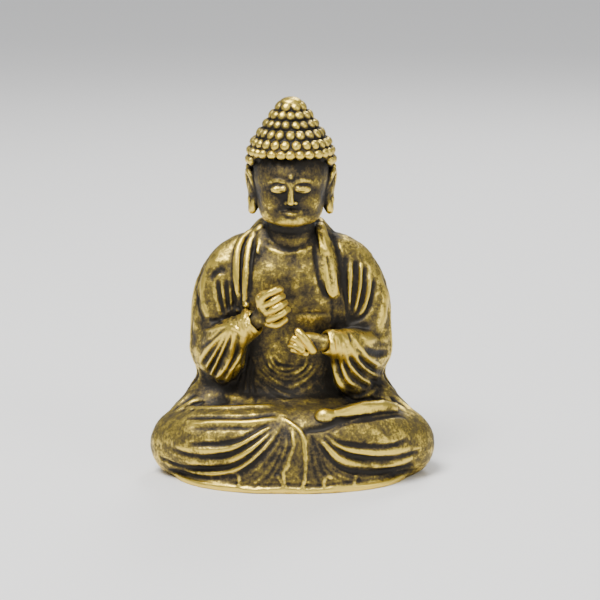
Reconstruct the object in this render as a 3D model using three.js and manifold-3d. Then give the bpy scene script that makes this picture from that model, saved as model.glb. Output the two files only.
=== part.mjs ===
// A pocket-sized seated Buddha in antiqued brass, built in sections as a bronze founder does it: every casting
// below is made by itself and soldered to its neighbours along a crease of the robe, the hairline or a cuff.
// Millimetres, +Z up. The figure faces -Y, its right hand is on the -X side, and the origin is the centre of
// the flat underside.
import * as THREE from "three";
import { mergeVertices } from "three/addons/utils/BufferGeometryUtils.js";
import Module from "manifold-3d";

// ---- driving dimensions --------------------------------------------------------------------------------

// What holds everywhere.
const SOLDER_GAP = 0.12; // between two neighbouring castings
const WALL = 1.9; // of the two hollow castings, the body and the lap

// The lap: crossed legs under the robe, on a low skirt that ends in the hem.
const KNEE_SPAN = 30.4; // across both knees
const KNEE_RADIUS = 3.6;
const SHIN_RADIUS = 3.2;
const LAP_DEPTH = 19.6; // from the hem's front edge to the back of the seat
const HEM_WIDTH = 25.8; // across the hem where it meets the ground
const SEAT_LEVEL = 7; // where the body casting's flat foot sits in the lap

// The base plate that closes the hollow from below.
const PLATE_THICKNESS = 0.9;
const RIM_WIDTH = 1.1; // of the lap's metal outside the plate

// The body: trunk, shoulders and upper arms.
const TRUNK_HEIGHT = 18.6; // from the seat to the base of the neck
const TRUNK_WIDTH = 14.4;
const TRUNK_DEPTH = 10;
const TRUNK_BACK = 2.3; // how far the trunk's middle lies behind the origin
const SHOULDER_SPAN = 21.4; // across both upper arms at the elbows
const ARM_RADIUS = 2.7;

// The sleeves, from the elbows to the cuffs, with the cloth that hangs from them.
const CUFF_RADIUS = 1.55;
const SLEEVE_THICKNESS = 2.6;

// The hands.
const WRIST_RADIUS = 0.85;
const TENON_LENGTH = 1.8; // how deep a wrist goes into its cuff
const FINGER_RADIUS = 0.5;
const FIST_SIZE = 3.4; // from the top knuckle to the little finger

// The head and what sits on it.
const NECK_RADIUS = 2.3;
const NECK_TENON_RADIUS = 1.5;
const NECK_TENON_LENGTH = 2.6;
const FACE_HEIGHT = 7.2; // from the chin to the hairline
const FACE_WIDTH = 7;
const HEAD_DEPTH = 9.4;
const CAP_WIDTH = 9.6; // across the curls
const CAP_HEIGHT = 4.9; // from the hairline at the forehead to the jewel's seat
const CURL_ROWS = 7;
const JEWEL_RADIUS = 1;
const PIN_RADIUS = 0.35; // of the jewel's spigot
const PIN_LENGTH = 1;

// The foot that lies on the lap, and the robe's edge band.
const FOOT_RADIUS = 0.95;
const BAND_WIDTH = 1.25;
const BAND_THICKNESS = 0.75;

// Places that follow from them.
const NECK_BASE = SEAT_LEVEL + TRUNK_HEIGHT;
const CHIN_LEVEL = NECK_BASE + 1.1;
const HAIRLINE = CHIN_LEVEL + FACE_HEIGHT;
const HEAD_Y = TRUNK_BACK - 1.3; // the head is carried a little forward of the trunk
const KNEE_X = KNEE_SPAN / 2 - KNEE_RADIUS;
const ELBOW_X = SHOULDER_SPAN / 2 - ARM_RADIUS;
const TRUNK_FRONT = TRUNK_BACK - TRUNK_DEPTH / 2;
const RIGHT = -1; // the figure's own right, on the -X side
const LEFT = 1;

// ---- solids --------------------------------------------------------------------------------------------

const wasm = await Module();
wasm.setup();

// A closed three.js geometry as a solid.
function solid(geometry) {
  const bare = geometry.clone();
  bare.deleteAttribute("normal");
  bare.deleteAttribute("uv");
  const merged = mergeVertices(bare, 1e-4);
  const mesh = new wasm.Mesh({
    numProp: 3,
    vertProperties: merged.attributes.position.array,
    triVerts: new Uint32Array(merged.index.array),
  });
  return new wasm.Manifold(mesh);
}

// Moves every vertex of a geometry to where place(vector) puts it.
function reshape(geometry, place) {
  const position = geometry.attributes.position;
  const point = new THREE.Vector3();
  for (let i = 0; i < position.count; i++) {
    point.fromBufferAttribute(position, i);
    place(point);
    position.setXYZ(i, point.x, point.y, point.z);
  }
  return geometry;
}

const join = (solids) => solids.reduce((whole, next) => whole.add(next));
const cut = (body, tools) => tools.reduce((rest, tool) => rest.subtract(tool), body);

// The largest body of a solid, without the slivers that a cut may leave.
function mainBody(body) {
  return body.decompose().reduce((best, next) => (next.volume() > best.volume() ? next : best));
}

function ellipsoid([x, y, z], [rx, ry, rz], grow = 0) {
  const geometry = new THREE.SphereGeometry(1, 16, 10);
  geometry.rotateX(Math.PI / 2);
  geometry.scale(rx + grow, ry + grow, rz + grow);
  return solid(geometry.translate(x, y, z));
}

function box([x, y, z], [width, depth, height]) {
  const geometry = new THREE.BoxGeometry(width, depth, height);
  return solid(geometry.translate(x, y, z));
}

// A value that runs smoothly through a list, for t from 0 to 1.
function through(values) {
  const last = values.length - 1;
  const curve = new THREE.SplineCurve(values.map((value, i) => new THREE.Vector2(i / last, value)));
  return (t) => curve.getPoint(t).y;
}

// A round-ended limb through joints [x, y, z, radius], drawn as a capsule whose rings follow the joints.
function limb(joints, grow = 0, sides = 12) {
  const spine = new THREE.CatmullRomCurve3(joints.map(([x, y, z]) => new THREE.Vector3(x, y, z)));
  const radius = through(joints.map((joint) => joint[3] + grow));
  const chord = spine.points[joints.length - 1].clone().sub(spine.points[0]);
  const reference = new THREE.Vector3(0, 0, 1);
  if (Math.abs(chord.z) > 0.7 * chord.length()) reference.set(0, 1, 0);
  const geometry = new THREE.CapsuleGeometry(1, 1, 3, sides, 2 * (joints.length - 1));
  return solid(
    reshape(geometry, (point) => {
      const along = THREE.MathUtils.clamp(point.y, -0.5, 0.5);
      const t = along + 0.5;
      const tangent = spine.getTangent(t);
      const across = new THREE.Vector3().crossVectors(reference, tangent).normalize();
      const upward = new THREE.Vector3().crossVectors(tangent, across);
      const [x, past, z] = [point.x, point.y - along, point.z].map((value) => value * radius(t));
      point.copy(spine.getPoint(t));
      point.addScaledVector(across, z).addScaledVector(tangent, past).addScaledVector(upward, x);
    }),
  );
}

// Elliptical sections stacked along Z: levels of { z, width, depth, y }, with the widths and depths in full.
function stack(levels, grow = 0, sides = 28, rings = 2 * (levels.length - 1)) {
  const [z, width, depth, y] = ["z", "width", "depth", "y"].map((key) =>
    through(levels.map((level) => level[key] ?? 0)),
  );
  const geometry = new THREE.CylinderGeometry(1, 1, 1, sides, rings).rotateX(Math.PI / 2);
  const [bottom, top] = [z(0), z(1)];
  return solid(
    reshape(geometry, (point) => {
      const t = point.z + 0.5;
      point.x *= width(t) / 2 + grow;
      point.y = y(t) + point.y * (depth(t) / 2 + grow);
      point.z = THREE.MathUtils.mapLinear(z(t), bottom, top, bottom - grow, top + grow);
    }),
  );
}

// ---- the lap -------------------------------------------------------------------------------------------

const skirtLevels = [
  { z: 0, width: HEM_WIDTH, depth: LAP_DEPTH },
  { z: 0.22 * SEAT_LEVEL, width: 0.95 * HEM_WIDTH, depth: 0.93 * LAP_DEPTH },
  { z: 0.55 * SEAT_LEVEL, width: 0.78 * HEM_WIDTH, depth: 0.84 * LAP_DEPTH },
  { z: 0.93 * SEAT_LEVEL, width: 0.55 * HEM_WIDTH, depth: 0.64 * LAP_DEPTH },
];

const legLevel = KNEE_RADIUS + 0.35; // the legs lie a little above the hem

function leg(side, grow) {
  const thigh = [
    [side * 0.4 * KNEE_X, 0.24 * LAP_DEPTH, legLevel + 1, KNEE_RADIUS + 0.2],
    [side * 0.78 * KNEE_X, 0.09 * LAP_DEPTH, legLevel + 1.1, KNEE_RADIUS + 0.4],
    [side * KNEE_X, -0.1 * LAP_DEPTH, legLevel, KNEE_RADIUS],
  ];
  const shin = [
    [side * 0.97 * KNEE_X, -0.12 * LAP_DEPTH, legLevel, KNEE_RADIUS - 0.2],
    [side * 0.56 * KNEE_X, -0.25 * LAP_DEPTH, legLevel + 0.5, SHIN_RADIUS],
    [side * 0.08 * KNEE_X, -0.28 * LAP_DEPTH, legLevel + 0.6, SHIN_RADIUS - 0.2],
  ];
  return limb(thigh, grow, 16).add(limb(shin, grow, 16));
}

function lapForm(grow = 0) {
  const seat = ellipsoid(
    [0, 0.255 * LAP_DEPTH, legLevel + 0.2],
    [0.375 * HEM_WIDTH, 0.245 * LAP_DEPTH, KNEE_RADIUS + 0.9],
    grow,
  );
  const whole = join([stack(skirtLevels, grow), seat, leg(RIGHT, grow), leg(LEFT, grow)]);
  const ground = box([0, 0, -10], [2 * KNEE_SPAN, 2 * LAP_DEPTH, 20]);
  return whole.subtract(ground);
}

const plateWidth = HEM_WIDTH - 2 * RIM_WIDTH;
const plateDepth = LAP_DEPTH - 2 * RIM_WIDTH;

// An elliptical slab from z to z + height.
function slab(z, height, width, depth, y = 0) {
  const geometry = new THREE.CylinderGeometry(1, 1, height, 32).rotateX(Math.PI / 2);
  return solid(geometry.scale(width / 2, depth / 2, 1).translate(0, y, z + height / 2));
}

function makeLap() {
  const core = stack(skirtLevels, -WALL);
  const mouth = slab(-1, 1 + PLATE_THICKNESS + WALL, plateWidth - 2 * RIM_WIDTH, plateDepth - 2 * RIM_WIDTH);
  const recess = slab(
    -1,
    1 + PLATE_THICKNESS + SOLDER_GAP,
    plateWidth + 2 * SOLDER_GAP,
    plateDepth + 2 * SOLDER_GAP,
  );
  const well = stack(
    [
      { z: 0.5 * SEAT_LEVEL, width: 0.4 * TRUNK_WIDTH, depth: 0.4 * TRUNK_DEPTH, y: 0 },
      { z: SEAT_LEVEL + 1, width: 0.4 * TRUNK_WIDTH, depth: 0.4 * TRUNK_DEPTH, y: 0.5 * TRUNK_BACK },
    ],
    0,
    20,
  );
  return cut(lapForm(), [trunkForm(SOLDER_GAP), core, mouth, recess, well]);
}

function makeBasePlate() {
  return slab(0, PLATE_THICKNESS, plateWidth, plateDepth);
}

// ---- the body ------------------------------------------------------------------------------------------

// A level up the trunk, from 0 at its seat to 1 at the base of the neck.
const upTrunk = (share) => SEAT_LEVEL + share * TRUNK_HEIGHT;

const trunkLevels = [
  [0, 1.02, 1.05, 0.5],
  [0.2, 0.98, 1.04, 0.3],
  [0.42, 0.98, 1, 0.1],
  [0.62, 1, 1.02, 0],
  [0.78, 0.94, 0.94, 0],
  [0.9, 0.68, 0.78, -0.1],
  [1, 0.38, 0.52, -0.3],
].map(([share, width, depth, back]) => ({
  z: upTrunk(share),
  width: width * TRUNK_WIDTH,
  depth: depth * TRUNK_DEPTH,
  y: TRUNK_BACK + back,
}));

function upperArm(side, grow) {
  return limb(
    [
      [side * 0.5 * ELBOW_X, TRUNK_BACK, upTrunk(0.88), 0.62 * ARM_RADIUS],
      [side * 0.79 * ELBOW_X, TRUNK_BACK - 0.1, upTrunk(0.79), 0.96 * ARM_RADIUS],
      [side * 0.94 * ELBOW_X, TRUNK_BACK - 0.5, upTrunk(0.54), ARM_RADIUS],
      [side * ELBOW_X, TRUNK_BACK - 1.2, upTrunk(0.31), ARM_RADIUS],
    ],
    grow,
  );
}

function trunkForm(grow = 0) {
  return join([stack(trunkLevels, grow), upperArm(RIGHT, grow), upperArm(LEFT, grow)]);
}

function makeBody() {
  const core = stack(trunkLevels.slice(0, 5), -WALL);
  const mouth = slab(SEAT_LEVEL - 1, 2 * WALL, 0.5 * TRUNK_WIDTH, 0.5 * TRUNK_DEPTH, TRUNK_BACK);
  return cut(trunkForm(), [core, mouth, neckForm(SOLDER_GAP)]);
}

// ---- the head ------------------------------------------------------------------------------------------

// A level up the face, from 0 at the chin to 1 at the hairline.
const upFace = (share) => CHIN_LEVEL + share * FACE_HEIGHT;

function neckForm(grow = 0) {
  const tenon = new THREE.CylinderGeometry(
    NECK_TENON_RADIUS + grow,
    NECK_TENON_RADIUS + grow,
    NECK_TENON_LENGTH + 2 + grow,
    20,
  );
  tenon.rotateX(Math.PI / 2);
  tenon.translate(0, TRUNK_BACK - 0.3, NECK_BASE - (NECK_TENON_LENGTH - 2 + grow) / 2 - 0.4);
  const column = [
    [0, TRUNK_BACK - 0.5, NECK_BASE - 0.3, NECK_RADIUS],
    [0, HEAD_Y + 0.4, NECK_BASE + 1.6, NECK_RADIUS - 0.1],
    [0, HEAD_Y + 0.4, NECK_BASE + 3.6, NECK_RADIUS],
  ];
  const shoulder = box([0, TRUNK_BACK, NECK_BASE - 5.9], [20, 20, 10 - 2 * grow]);
  return limb(column, grow).subtract(shoulder).add(solid(tenon));
}

function skullForm(grow = 0) {
  const levels = [
    [0, 0.34, 0.22, -2.1],
    [0.1, 0.6, 0.46, -1.3],
    [0.28, 0.84, 0.74, -0.4],
    [0.48, 0.96, 0.9, 0],
    [0.68, 1, 0.96, 0.2],
    [0.9, 1.02, 0.98, 0.3],
    [1.12, 0.98, 0.94, 0.4],
    [1.3, 0.8, 0.76, 0.4],
    [1.4, 0.4, 0.4, 0.4],
  ].map(([share, width, depth, back]) => ({
    z: upFace(share),
    width: width * FACE_WIDTH,
    depth: depth * HEAD_DEPTH,
    y: HEAD_Y + back,
  }));
  return stack(levels, grow, 22, 12);
}

function ear(side) {
  const reach = 0.5 * FACE_WIDTH + 0.55;
  return limb(
    [
      [side * reach, HEAD_Y + 0.9, upFace(0.76), 0.75],
      [side * reach, HEAD_Y + 0.7, upFace(0.52), 0.7],
      [side * (reach - 0.2), HEAD_Y + 0.3, upFace(0.16), 0.62],
    ],
    0,
    8,
  );
}

// Nose, lips, chin and closed lids, on a head whose face is divided into equal thirds.
function features() {
  const front = HEAD_Y - HEAD_DEPTH / 2;
  const third = 1 / 3;
  return [
    limb(
      [
        [0, front + 0.75, upFace(2 * third), 0.32],
        [0, front + 0.5, upFace(1.5 * third), 0.4],
        [0, front + 0.45, upFace(third) + 0.2, 0.55],
      ],
      0,
      8,
    ),
    ellipsoid([0, front + 1.3, upFace(0.62 * third)], [1.1, 0.6, 0.35]),
    ellipsoid([0, front + 1.7, upFace(0.2 * third)], [0.95, 0.8, 0.6]),
    ellipsoid([-0.22 * FACE_WIDTH, front + 1.15, upFace(1.75 * third)], [0.85, 0.6, 0.42]),
    ellipsoid([0.22 * FACE_WIDTH, front + 1.15, upFace(1.75 * third)], [0.85, 0.6, 0.42]),
  ];
}

function makeHead() {
  const head = join([skullForm(), neckForm(), ear(RIGHT), ear(LEFT), ...features()]);
  return head.subtract(hairForm(SOLDER_GAP).subtract(skullForm()));
}

// The cap is turned on a profile that swells at each row of curls, then made deeper than it is wide and cut
// along the hairline, which drops from the forehead to the nape.
function hairForm(grow = 0) {
  const domeRadius = through([4.4, 4.75, 4.7, 4.4, 3.95, 3.4, 2.7, 1.9].map((r) => (r / 4.8) * (CAP_WIDTH / 2)));
  const bottom = HAIRLINE - 5;
  const top = HAIRLINE + CAP_HEIGHT;
  const rowHeight = CAP_HEIGHT / CURL_ROWS;
  const profile = [new THREE.Vector2(0, bottom - grow)];
  const steps = 3 * Math.round((top - bottom) / rowHeight);
  for (let i = 0; i <= steps; i++) {
    const z = bottom + ((top - bottom) * i) / steps;
    const t = THREE.MathUtils.clamp((z - HAIRLINE + 1) / (CAP_HEIGHT + 1), 0, 1);
    const swell = 0.2 * Math.abs(Math.sin((Math.PI * (z - HAIRLINE)) / rowHeight)) - 0.2;
    profile.push(new THREE.Vector2(domeRadius(t) + swell + grow, z));
  }
  profile.push(new THREE.Vector2(0, top + grow));
  const geometry = new THREE.LatheGeometry(profile, 22).rotateX(Math.PI / 2);
  geometry.scale(1, 1.08, 1).translate(0, HEAD_Y + 0.5, 0);
  const hairlineSlope = Math.atan2(4.6, HEAD_DEPTH);
  const below = new THREE.BoxGeometry(30, 30, 20);
  below.translate(0, 0, -10 - grow).rotateX(-hairlineSlope);
  below.translate(0, HEAD_Y - HEAD_DEPTH / 2, HAIRLINE);
  return solid(geometry).subtract(solid(below));
}

function makeHairCap() {
  const spigot = new THREE.CylinderGeometry(PIN_RADIUS + SOLDER_GAP, PIN_RADIUS + SOLDER_GAP, 2 * PIN_LENGTH, 14);
  spigot.rotateX(Math.PI / 2).translate(0, HEAD_Y + 0.5, HAIRLINE + CAP_HEIGHT - 0.3);
  return cut(hairForm(), [skullForm(SOLDER_GAP), solid(spigot)]);
}

// A flattened bead with a spigot that drops into the cap.
function makeJewel() {
  const seat = HAIRLINE + CAP_HEIGHT;
  const bead = ellipsoid([0, HEAD_Y + 0.5, seat + 0.1], [1.6 * JEWEL_RADIUS, 1.6 * JEWEL_RADIUS, JEWEL_RADIUS - 0.2]);
  const under = box([0, HEAD_Y + 0.5, seat - 4.9 + SOLDER_GAP], [10, 10, 9.8]);
  const spigot = new THREE.CylinderGeometry(PIN_RADIUS, PIN_RADIUS, PIN_LENGTH + 0.2, 14);
  spigot.rotateX(Math.PI / 2).translate(0, HEAD_Y + 0.5, seat - PIN_LENGTH / 2 + 0.1);
  return bead.subtract(under).add(solid(spigot));
}

// ---- the sleeves ---------------------------------------------------------------------------------------

const elbow = (side) => [side * ELBOW_X, TRUNK_BACK - 1.6, upTrunk(0.3), ARM_RADIUS - 0.3];
const cuffLevel = { [RIGHT]: upTrunk(0.53), [LEFT]: upTrunk(0.41) };
const drapeHem = { [RIGHT]: SEAT_LEVEL + 2.4, [LEFT]: SEAT_LEVEL + 1.6 };
const drapeShare = { [RIGHT]: 0.5, [LEFT]: 0.72 }; // of the way from elbow to cuff that the hem covers
const cuff = (side) => [side * 0.5 * ELBOW_X, TRUNK_FRONT - 1.7, cuffLevel[side], CUFF_RADIUS];

function forearm(side, grow) {
  const [start, end] = [elbow(side), cuff(side)];
  const middle = start.map((value, i) => (value + end[i]) / 2);
  middle[0] += side * 0.5;
  return limb([start, middle, end], grow);
}

// The cloth that hangs from the forearm to the lap: an outline in the upright plane through elbow and cuff.
function drape(side, grow) {
  const [start, end] = [elbow(side), cuff(side)];
  const reach = Math.hypot(end[0] - start[0], end[1] - start[1]);
  const bevel = 0.45 * SLEEVE_THICKNESS;
  const hem = drapeHem[side] + bevel;
  const front = drapeShare[side] * reach;
  const outline = new THREE.Shape();
  outline.moveTo(bevel - 1.2, hem + 0.6);
  outline.quadraticCurveTo(0.5 * front, hem - 0.6, front, hem + 1);
  outline.quadraticCurveTo(0.85 * reach, hem + 2.5, reach - bevel + 0.3, end[2]);
  outline.lineTo(bevel - 1.2, start[2] + 0.6);
  outline.closePath();
  const geometry = new THREE.ExtrudeGeometry(outline, {
    depth: SLEEVE_THICKNESS - 2 * bevel + 0.2,
    bevelThickness: bevel + grow,
    bevelSize: bevel + grow,
    bevelSegments: 2,
    curveSegments: 5,
  });
  geometry.translate(0, 0, bevel - SLEEVE_THICKNESS / 2 - 0.1).rotateX(Math.PI / 2);
  geometry.rotateZ(Math.atan2(end[1] - start[1], end[0] - start[0]));
  return solid(geometry.translate(start[0], start[1], 0));
}

const sleeveForm = (side, grow = 0) => forearm(side, grow).add(drape(side, grow));

function makeSleeve(side) {
  const body = cut(sleeveForm(side), [trunkForm(SOLDER_GAP), lapForm(SOLDER_GAP), wrist(side, SOLDER_GAP)]);
  return mainBody(body);
}

// ---- the hands -----------------------------------------------------------------------------------------

const handCentre = {
  [RIGHT]: [-0.26 * ELBOW_X, TRUNK_FRONT - 2.6, upTrunk(0.645)],
  [LEFT]: [0.15 * ELBOW_X, TRUNK_FRONT - 2.7, upTrunk(0.45)],
};

// The wrist runs from inside the cuff to the palm.
function wrist(side, grow = 0) {
  const mouth = new THREE.Vector3(...cuff(side));
  const palm = new THREE.Vector3(...handCentre[side]);
  const arm = new THREE.Vector3(...elbow(side)).sub(mouth).normalize();
  const inside = mouth.clone().addScaledVector(arm, TENON_LENGTH - CUFF_RADIUS);
  const outside = mouth.clone().lerp(palm, 0.45);
  return limb(
    [inside, outside, palm].map((point) => [...point.toArray(), WRIST_RADIUS]),
    grow,
    12,
  );
}

// The right hand is a loose fist, held upright in front of the chest, its fingers one above another.
function rightHand(grow = 0) {
  const [x, y, z] = handCentre[RIGHT];
  const palm = ellipsoid([x - 0.5, y + 0.2, z], [0.95, 0.85, 0.5 * FIST_SIZE], grow);
  const fingers = [0, 1, 2, 3].map((row) => {
    const level = z + (0.36 - 0.25 * row) * FIST_SIZE;
    const shift = x + 0.28 * row - 0.3;
    return limb(
      [
        [shift - 0.8, y - 0.35, level - 0.35, FINGER_RADIUS],
        [shift + 0.1, y - 0.85, level, FINGER_RADIUS],
        [shift + 0.95, y - 0.25, level + 0.4, FINGER_RADIUS],
      ],
      grow,
      8,
    );
  });
  return join([wrist(RIGHT, grow), palm, ...fingers]);
}

// The left hand lies below it, palm up, with the first finger and the thumb raised to the fist.
function leftHand(grow = 0) {
  const [x, y, z] = handCentre[LEFT];
  const palm = ellipsoid([x, y + 0.1, z - 0.3], [1.5, 0.95, 0.85], grow);
  const finger = (from, to) => limb([from, to].map((point) => [...point, FINGER_RADIUS]), grow, 8);
  return join([
    wrist(LEFT, grow),
    palm,
    finger([x + 0.7, y - 0.7, z], [x - 0.55, y - 0.75, z + 1.5]),
    finger([x - 0.3, y - 0.8, z - 0.1], [x - 1.3, y - 0.7, z + 0.85]),
    finger([x + 0.4, y - 0.8, z - 0.6], [x - 1.5, y - 0.8, z - 0.1]),
    finger([x + 0.4, y - 0.6, z - 1], [x - 1.2, y - 0.6, z - 0.85]),
  ]);
}

function makeHand(side) {
  const others = [trunkForm(SOLDER_GAP)];
  if (side === LEFT) others.push(rightHand(SOLDER_GAP), sleeveForm(RIGHT, SOLDER_GAP));
  const shape = side === RIGHT ? rightHand() : leftHand();
  const hand = cut(shape, others);
  const inSleeve = sleeveForm(side, SOLDER_GAP).subtract(wrist(side));
  return mainBody(hand.subtract(inSleeve));
}

// ---- the foot and the band -----------------------------------------------------------------------------

function footForm(grow = 0) {
  return limb(
    [
      [0.3 * KNEE_X, -0.35 * LAP_DEPTH, SEAT_LEVEL + 0.6, FOOT_RADIUS + 0.1],
      [0.6 * KNEE_X, -0.28 * LAP_DEPTH, SEAT_LEVEL + 1.1, FOOT_RADIUS - 0.15],
      [0.92 * KNEE_X, -0.16 * LAP_DEPTH, SEAT_LEVEL + 1.2, FOOT_RADIUS - 0.05],
    ],
    grow,
    10,
  );
}

function makeFoot() {
  const neighbours = [lapForm(SOLDER_GAP), trunkForm(SOLDER_GAP), sleeveForm(LEFT, SOLDER_GAP)];
  return mainBody(cut(footForm(), neighbours));
}

// A point on the trunk's front, at x and at a share of the trunk's height.
function onChest(x, share) {
  const t = through(trunkLevels.map((level) => level.z));
  const at = (key) => through(trunkLevels.map((level) => level[key]));
  let place = 0.5;
  for (let step = 0.25; step > 1e-3; step /= 2) place += t(place) < upTrunk(share) ? step : -step;
  const [width, depth, y] = ["width", "depth", "y"].map((key) => at(key)(place) / (key === "y" ? 1 : 2));
  return new THREE.Vector3(x, y - depth * Math.sqrt(Math.max(0, 1 - (x / width) ** 2)), upTrunk(share));
}

// The edge of the robe: one band from the hands up one side of the chest, round the neck and down the other.
function bandForm(grow = 0) {
  const chest = [
    [0.325, 0.62],
    [0.335, 0.7],
    [0.33, 0.78],
    [0.26, 0.9],
    [0.19, 0.985],
  ].map(([x, share]) => onChest(x * TRUNK_WIDTH, share));
  const nape = new THREE.Vector3(0, TRUNK_BACK + NECK_RADIUS + 0.1, NECK_BASE + 0.4);
  const mirrored = chest.map((point) => new THREE.Vector3(-point.x, point.y, point.z));
  const path = new THREE.CatmullRomCurve3([...mirrored, nape, ...chest.reverse()]);
  const points = path.getPoints(10);
  const radius = (BAND_WIDTH / 2 + BAND_THICKNESS) / 2;
  return limb(
    points.map((point) => [...point.toArray(), radius]),
    grow,
    8,
  );
}

function makeBand() {
  const neighbours = [trunkForm(SOLDER_GAP), neckForm(SOLDER_GAP), skullForm(SOLDER_GAP)];
  const clear = [hairForm(SOLDER_GAP), sleeveForm(RIGHT, SOLDER_GAP), sleeveForm(LEFT, SOLDER_GAP)];
  const hands = [rightHand(SOLDER_GAP), leftHand(SOLDER_GAP)];
  return mainBody(cut(bandForm(), [...neighbours, ...clear, ...hands]));
}

// ---- the figure ----------------------------------------------------------------------------------------

const brass = new THREE.MeshStandardMaterial({ color: 0xa38a45, roughness: 0.42, metalness: 1 });
const darkBrass = new THREE.MeshStandardMaterial({ color: 0x6b5a32, roughness: 0.55, metalness: 1 });

function meshOf(name, body, material = brass) {
  const { vertProperties, triVerts } = body.getMesh();
  const geometry = new THREE.BufferGeometry();
  geometry.setAttribute("position", new THREE.BufferAttribute(vertProperties, 3));
  geometry.setIndex(new THREE.BufferAttribute(triVerts, 1));
  geometry.computeVertexNormals();
  const mesh = new THREE.Mesh(geometry, material);
  mesh.name = name;
  return mesh;
}

const figure = new THREE.Group();
figure.add(
  meshOf("lap_casting", makeLap()),
  meshOf("base_plate", makeBasePlate(), darkBrass),
  meshOf("body_casting", makeBody()),
  meshOf("robe_edge_band", makeBand()),
  meshOf("right_sleeve", makeSleeve(RIGHT)),
  meshOf("left_sleeve", makeSleeve(LEFT)),
  meshOf("right_hand", makeHand(RIGHT)),
  meshOf("left_hand", makeHand(LEFT)),
  meshOf("right_foot", makeFoot()),
  meshOf("head_casting", makeHead()),
  meshOf("hair_cap", makeHairCap()),
  meshOf("crown_jewel", makeJewel()),
);

export default figure;
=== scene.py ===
# %% [markdown]
# # A pocket Buddha in antiqued brass
#
# The figure is a palm-sized casting: a seated Buddha in a loose robe, darkened all over and then
# rubbed, so that every ridge of cloth shines and every hollow stays brown. This lesson builds it round
# a CAD model that already says where each piece goes and how big it is. The CAD forms are plain limbs
# and stacked sections; here they become the start of a sculpture.
#
# Cloth this small and this full of folds is awkward to draw as a polygon cage. A sculptor would press
# it out of clay or wax instead, and so does this script: it keeps a block of "clay" as a grid of
# distances, adds forms, draws folds on the surface with a brush, cuts the block into the castings, and
# turns each one into a mesh.

# %% The frame
import math
import time

import bpy
import numpy as np
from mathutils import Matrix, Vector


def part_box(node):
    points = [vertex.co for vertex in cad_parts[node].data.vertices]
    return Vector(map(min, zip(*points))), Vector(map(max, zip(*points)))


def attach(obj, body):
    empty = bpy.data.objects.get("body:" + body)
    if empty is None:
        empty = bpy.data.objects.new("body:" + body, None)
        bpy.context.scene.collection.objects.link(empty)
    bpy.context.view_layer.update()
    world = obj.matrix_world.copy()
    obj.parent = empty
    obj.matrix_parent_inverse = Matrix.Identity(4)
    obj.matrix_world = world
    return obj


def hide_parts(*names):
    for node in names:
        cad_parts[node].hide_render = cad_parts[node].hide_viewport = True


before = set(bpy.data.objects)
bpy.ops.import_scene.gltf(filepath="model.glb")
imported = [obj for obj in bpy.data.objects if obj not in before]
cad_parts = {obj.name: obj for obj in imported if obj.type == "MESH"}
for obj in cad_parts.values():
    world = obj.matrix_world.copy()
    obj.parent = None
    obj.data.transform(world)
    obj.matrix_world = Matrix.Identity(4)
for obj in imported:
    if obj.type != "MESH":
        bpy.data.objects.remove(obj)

import openvdb
from mathutils import Vector

started = time.time()
MM = 0.001
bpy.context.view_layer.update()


def cad_box(node):
    """The lowest and highest corner of a CAD node, in millimetres."""
    return [np.array(corner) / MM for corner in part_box(node)]


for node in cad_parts:
    low, high = cad_box(node)
    print(f"{node:16s} from {np.round(low, 1)} to {np.round(high, 1)} mm")

# %% [markdown]
# ## Clay
#
# The clay is a three-dimensional grid. Each grid point holds how far it is from the surface, in
# millimetres: positive in the air, negative inside the metal. Two forms are joined by keeping the
# smaller distance, and if the two are blended where they are nearly equal, the join is a soft fillet,
# as a thumb leaves between two lumps. Grids of this kind also make holes, hollows and separate pieces
# easy, because a cut is only a comparison.

# %% A block of clay
FAR = 4.0  # distances beyond this don't matter, in mm


class Clay:
    """A block of clay: a grid of distances, in mm. `form` is the form that strokes and dabs work on."""

    def __init__(self, low, high, grain):
        self.low, self.grain = np.asarray(low, float), grain
        self.axes = [np.arange(l, h + grain, grain, dtype=np.float32) for l, h in zip(low, high)]
        self.form = self.air()

    def air(self):
        return np.full([len(axis) for axis in self.axes], FAR, np.float32)

    def corners(self):
        return [axis[0] for axis in self.axes], [axis[-1] for axis in self.axes]

    def window(self, low, high):
        """The part of the grid between two corners: its slices and its coordinates."""
        slices = []
        for axis, l, h in zip(self.axes, low, high):
            first, last = np.searchsorted(axis, (l, h))
            slices.append(slice(max(first - 1, 0), last + 1))
        x, y, z = (axis[part] for axis, part in zip(self.axes, slices))
        return tuple(slices), (x[:, None, None], y[None, :, None], z[None, None, :])


def tell(name, block, form):
    """Prints how much clay a form holds."""
    volume = np.count_nonzero(form < 0) * block.grain**3
    print(f"{name:24s} {volume:7.1f} cubic mm, {time.time() - started:4.1f} s in")


# %% Joining and cutting forms
def soft_union(a, b, fillet):
    """Two forms joined with a fillet of about that size."""
    near = np.maximum(fillet - np.abs(a - b), 0) / fillet
    return np.minimum(a, b) - near * near * (fillet / 4)


def soft_cut(a, b, fillet):
    """a without b."""
    return -soft_union(-a, b, fillet)


print("two flat faces that meet are filled by", -soft_union(0.0, 0.0, 0.8), "mm with a fillet of 0.8 mm")

# %% [markdown]
# Most of a body is limbs: arms, fingers, a nose, a roll of cloth. A limb is a smooth line through a few
# joints, each with its own radius. Its distance is that of the nearest point on the line, less the
# radius there.

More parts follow.
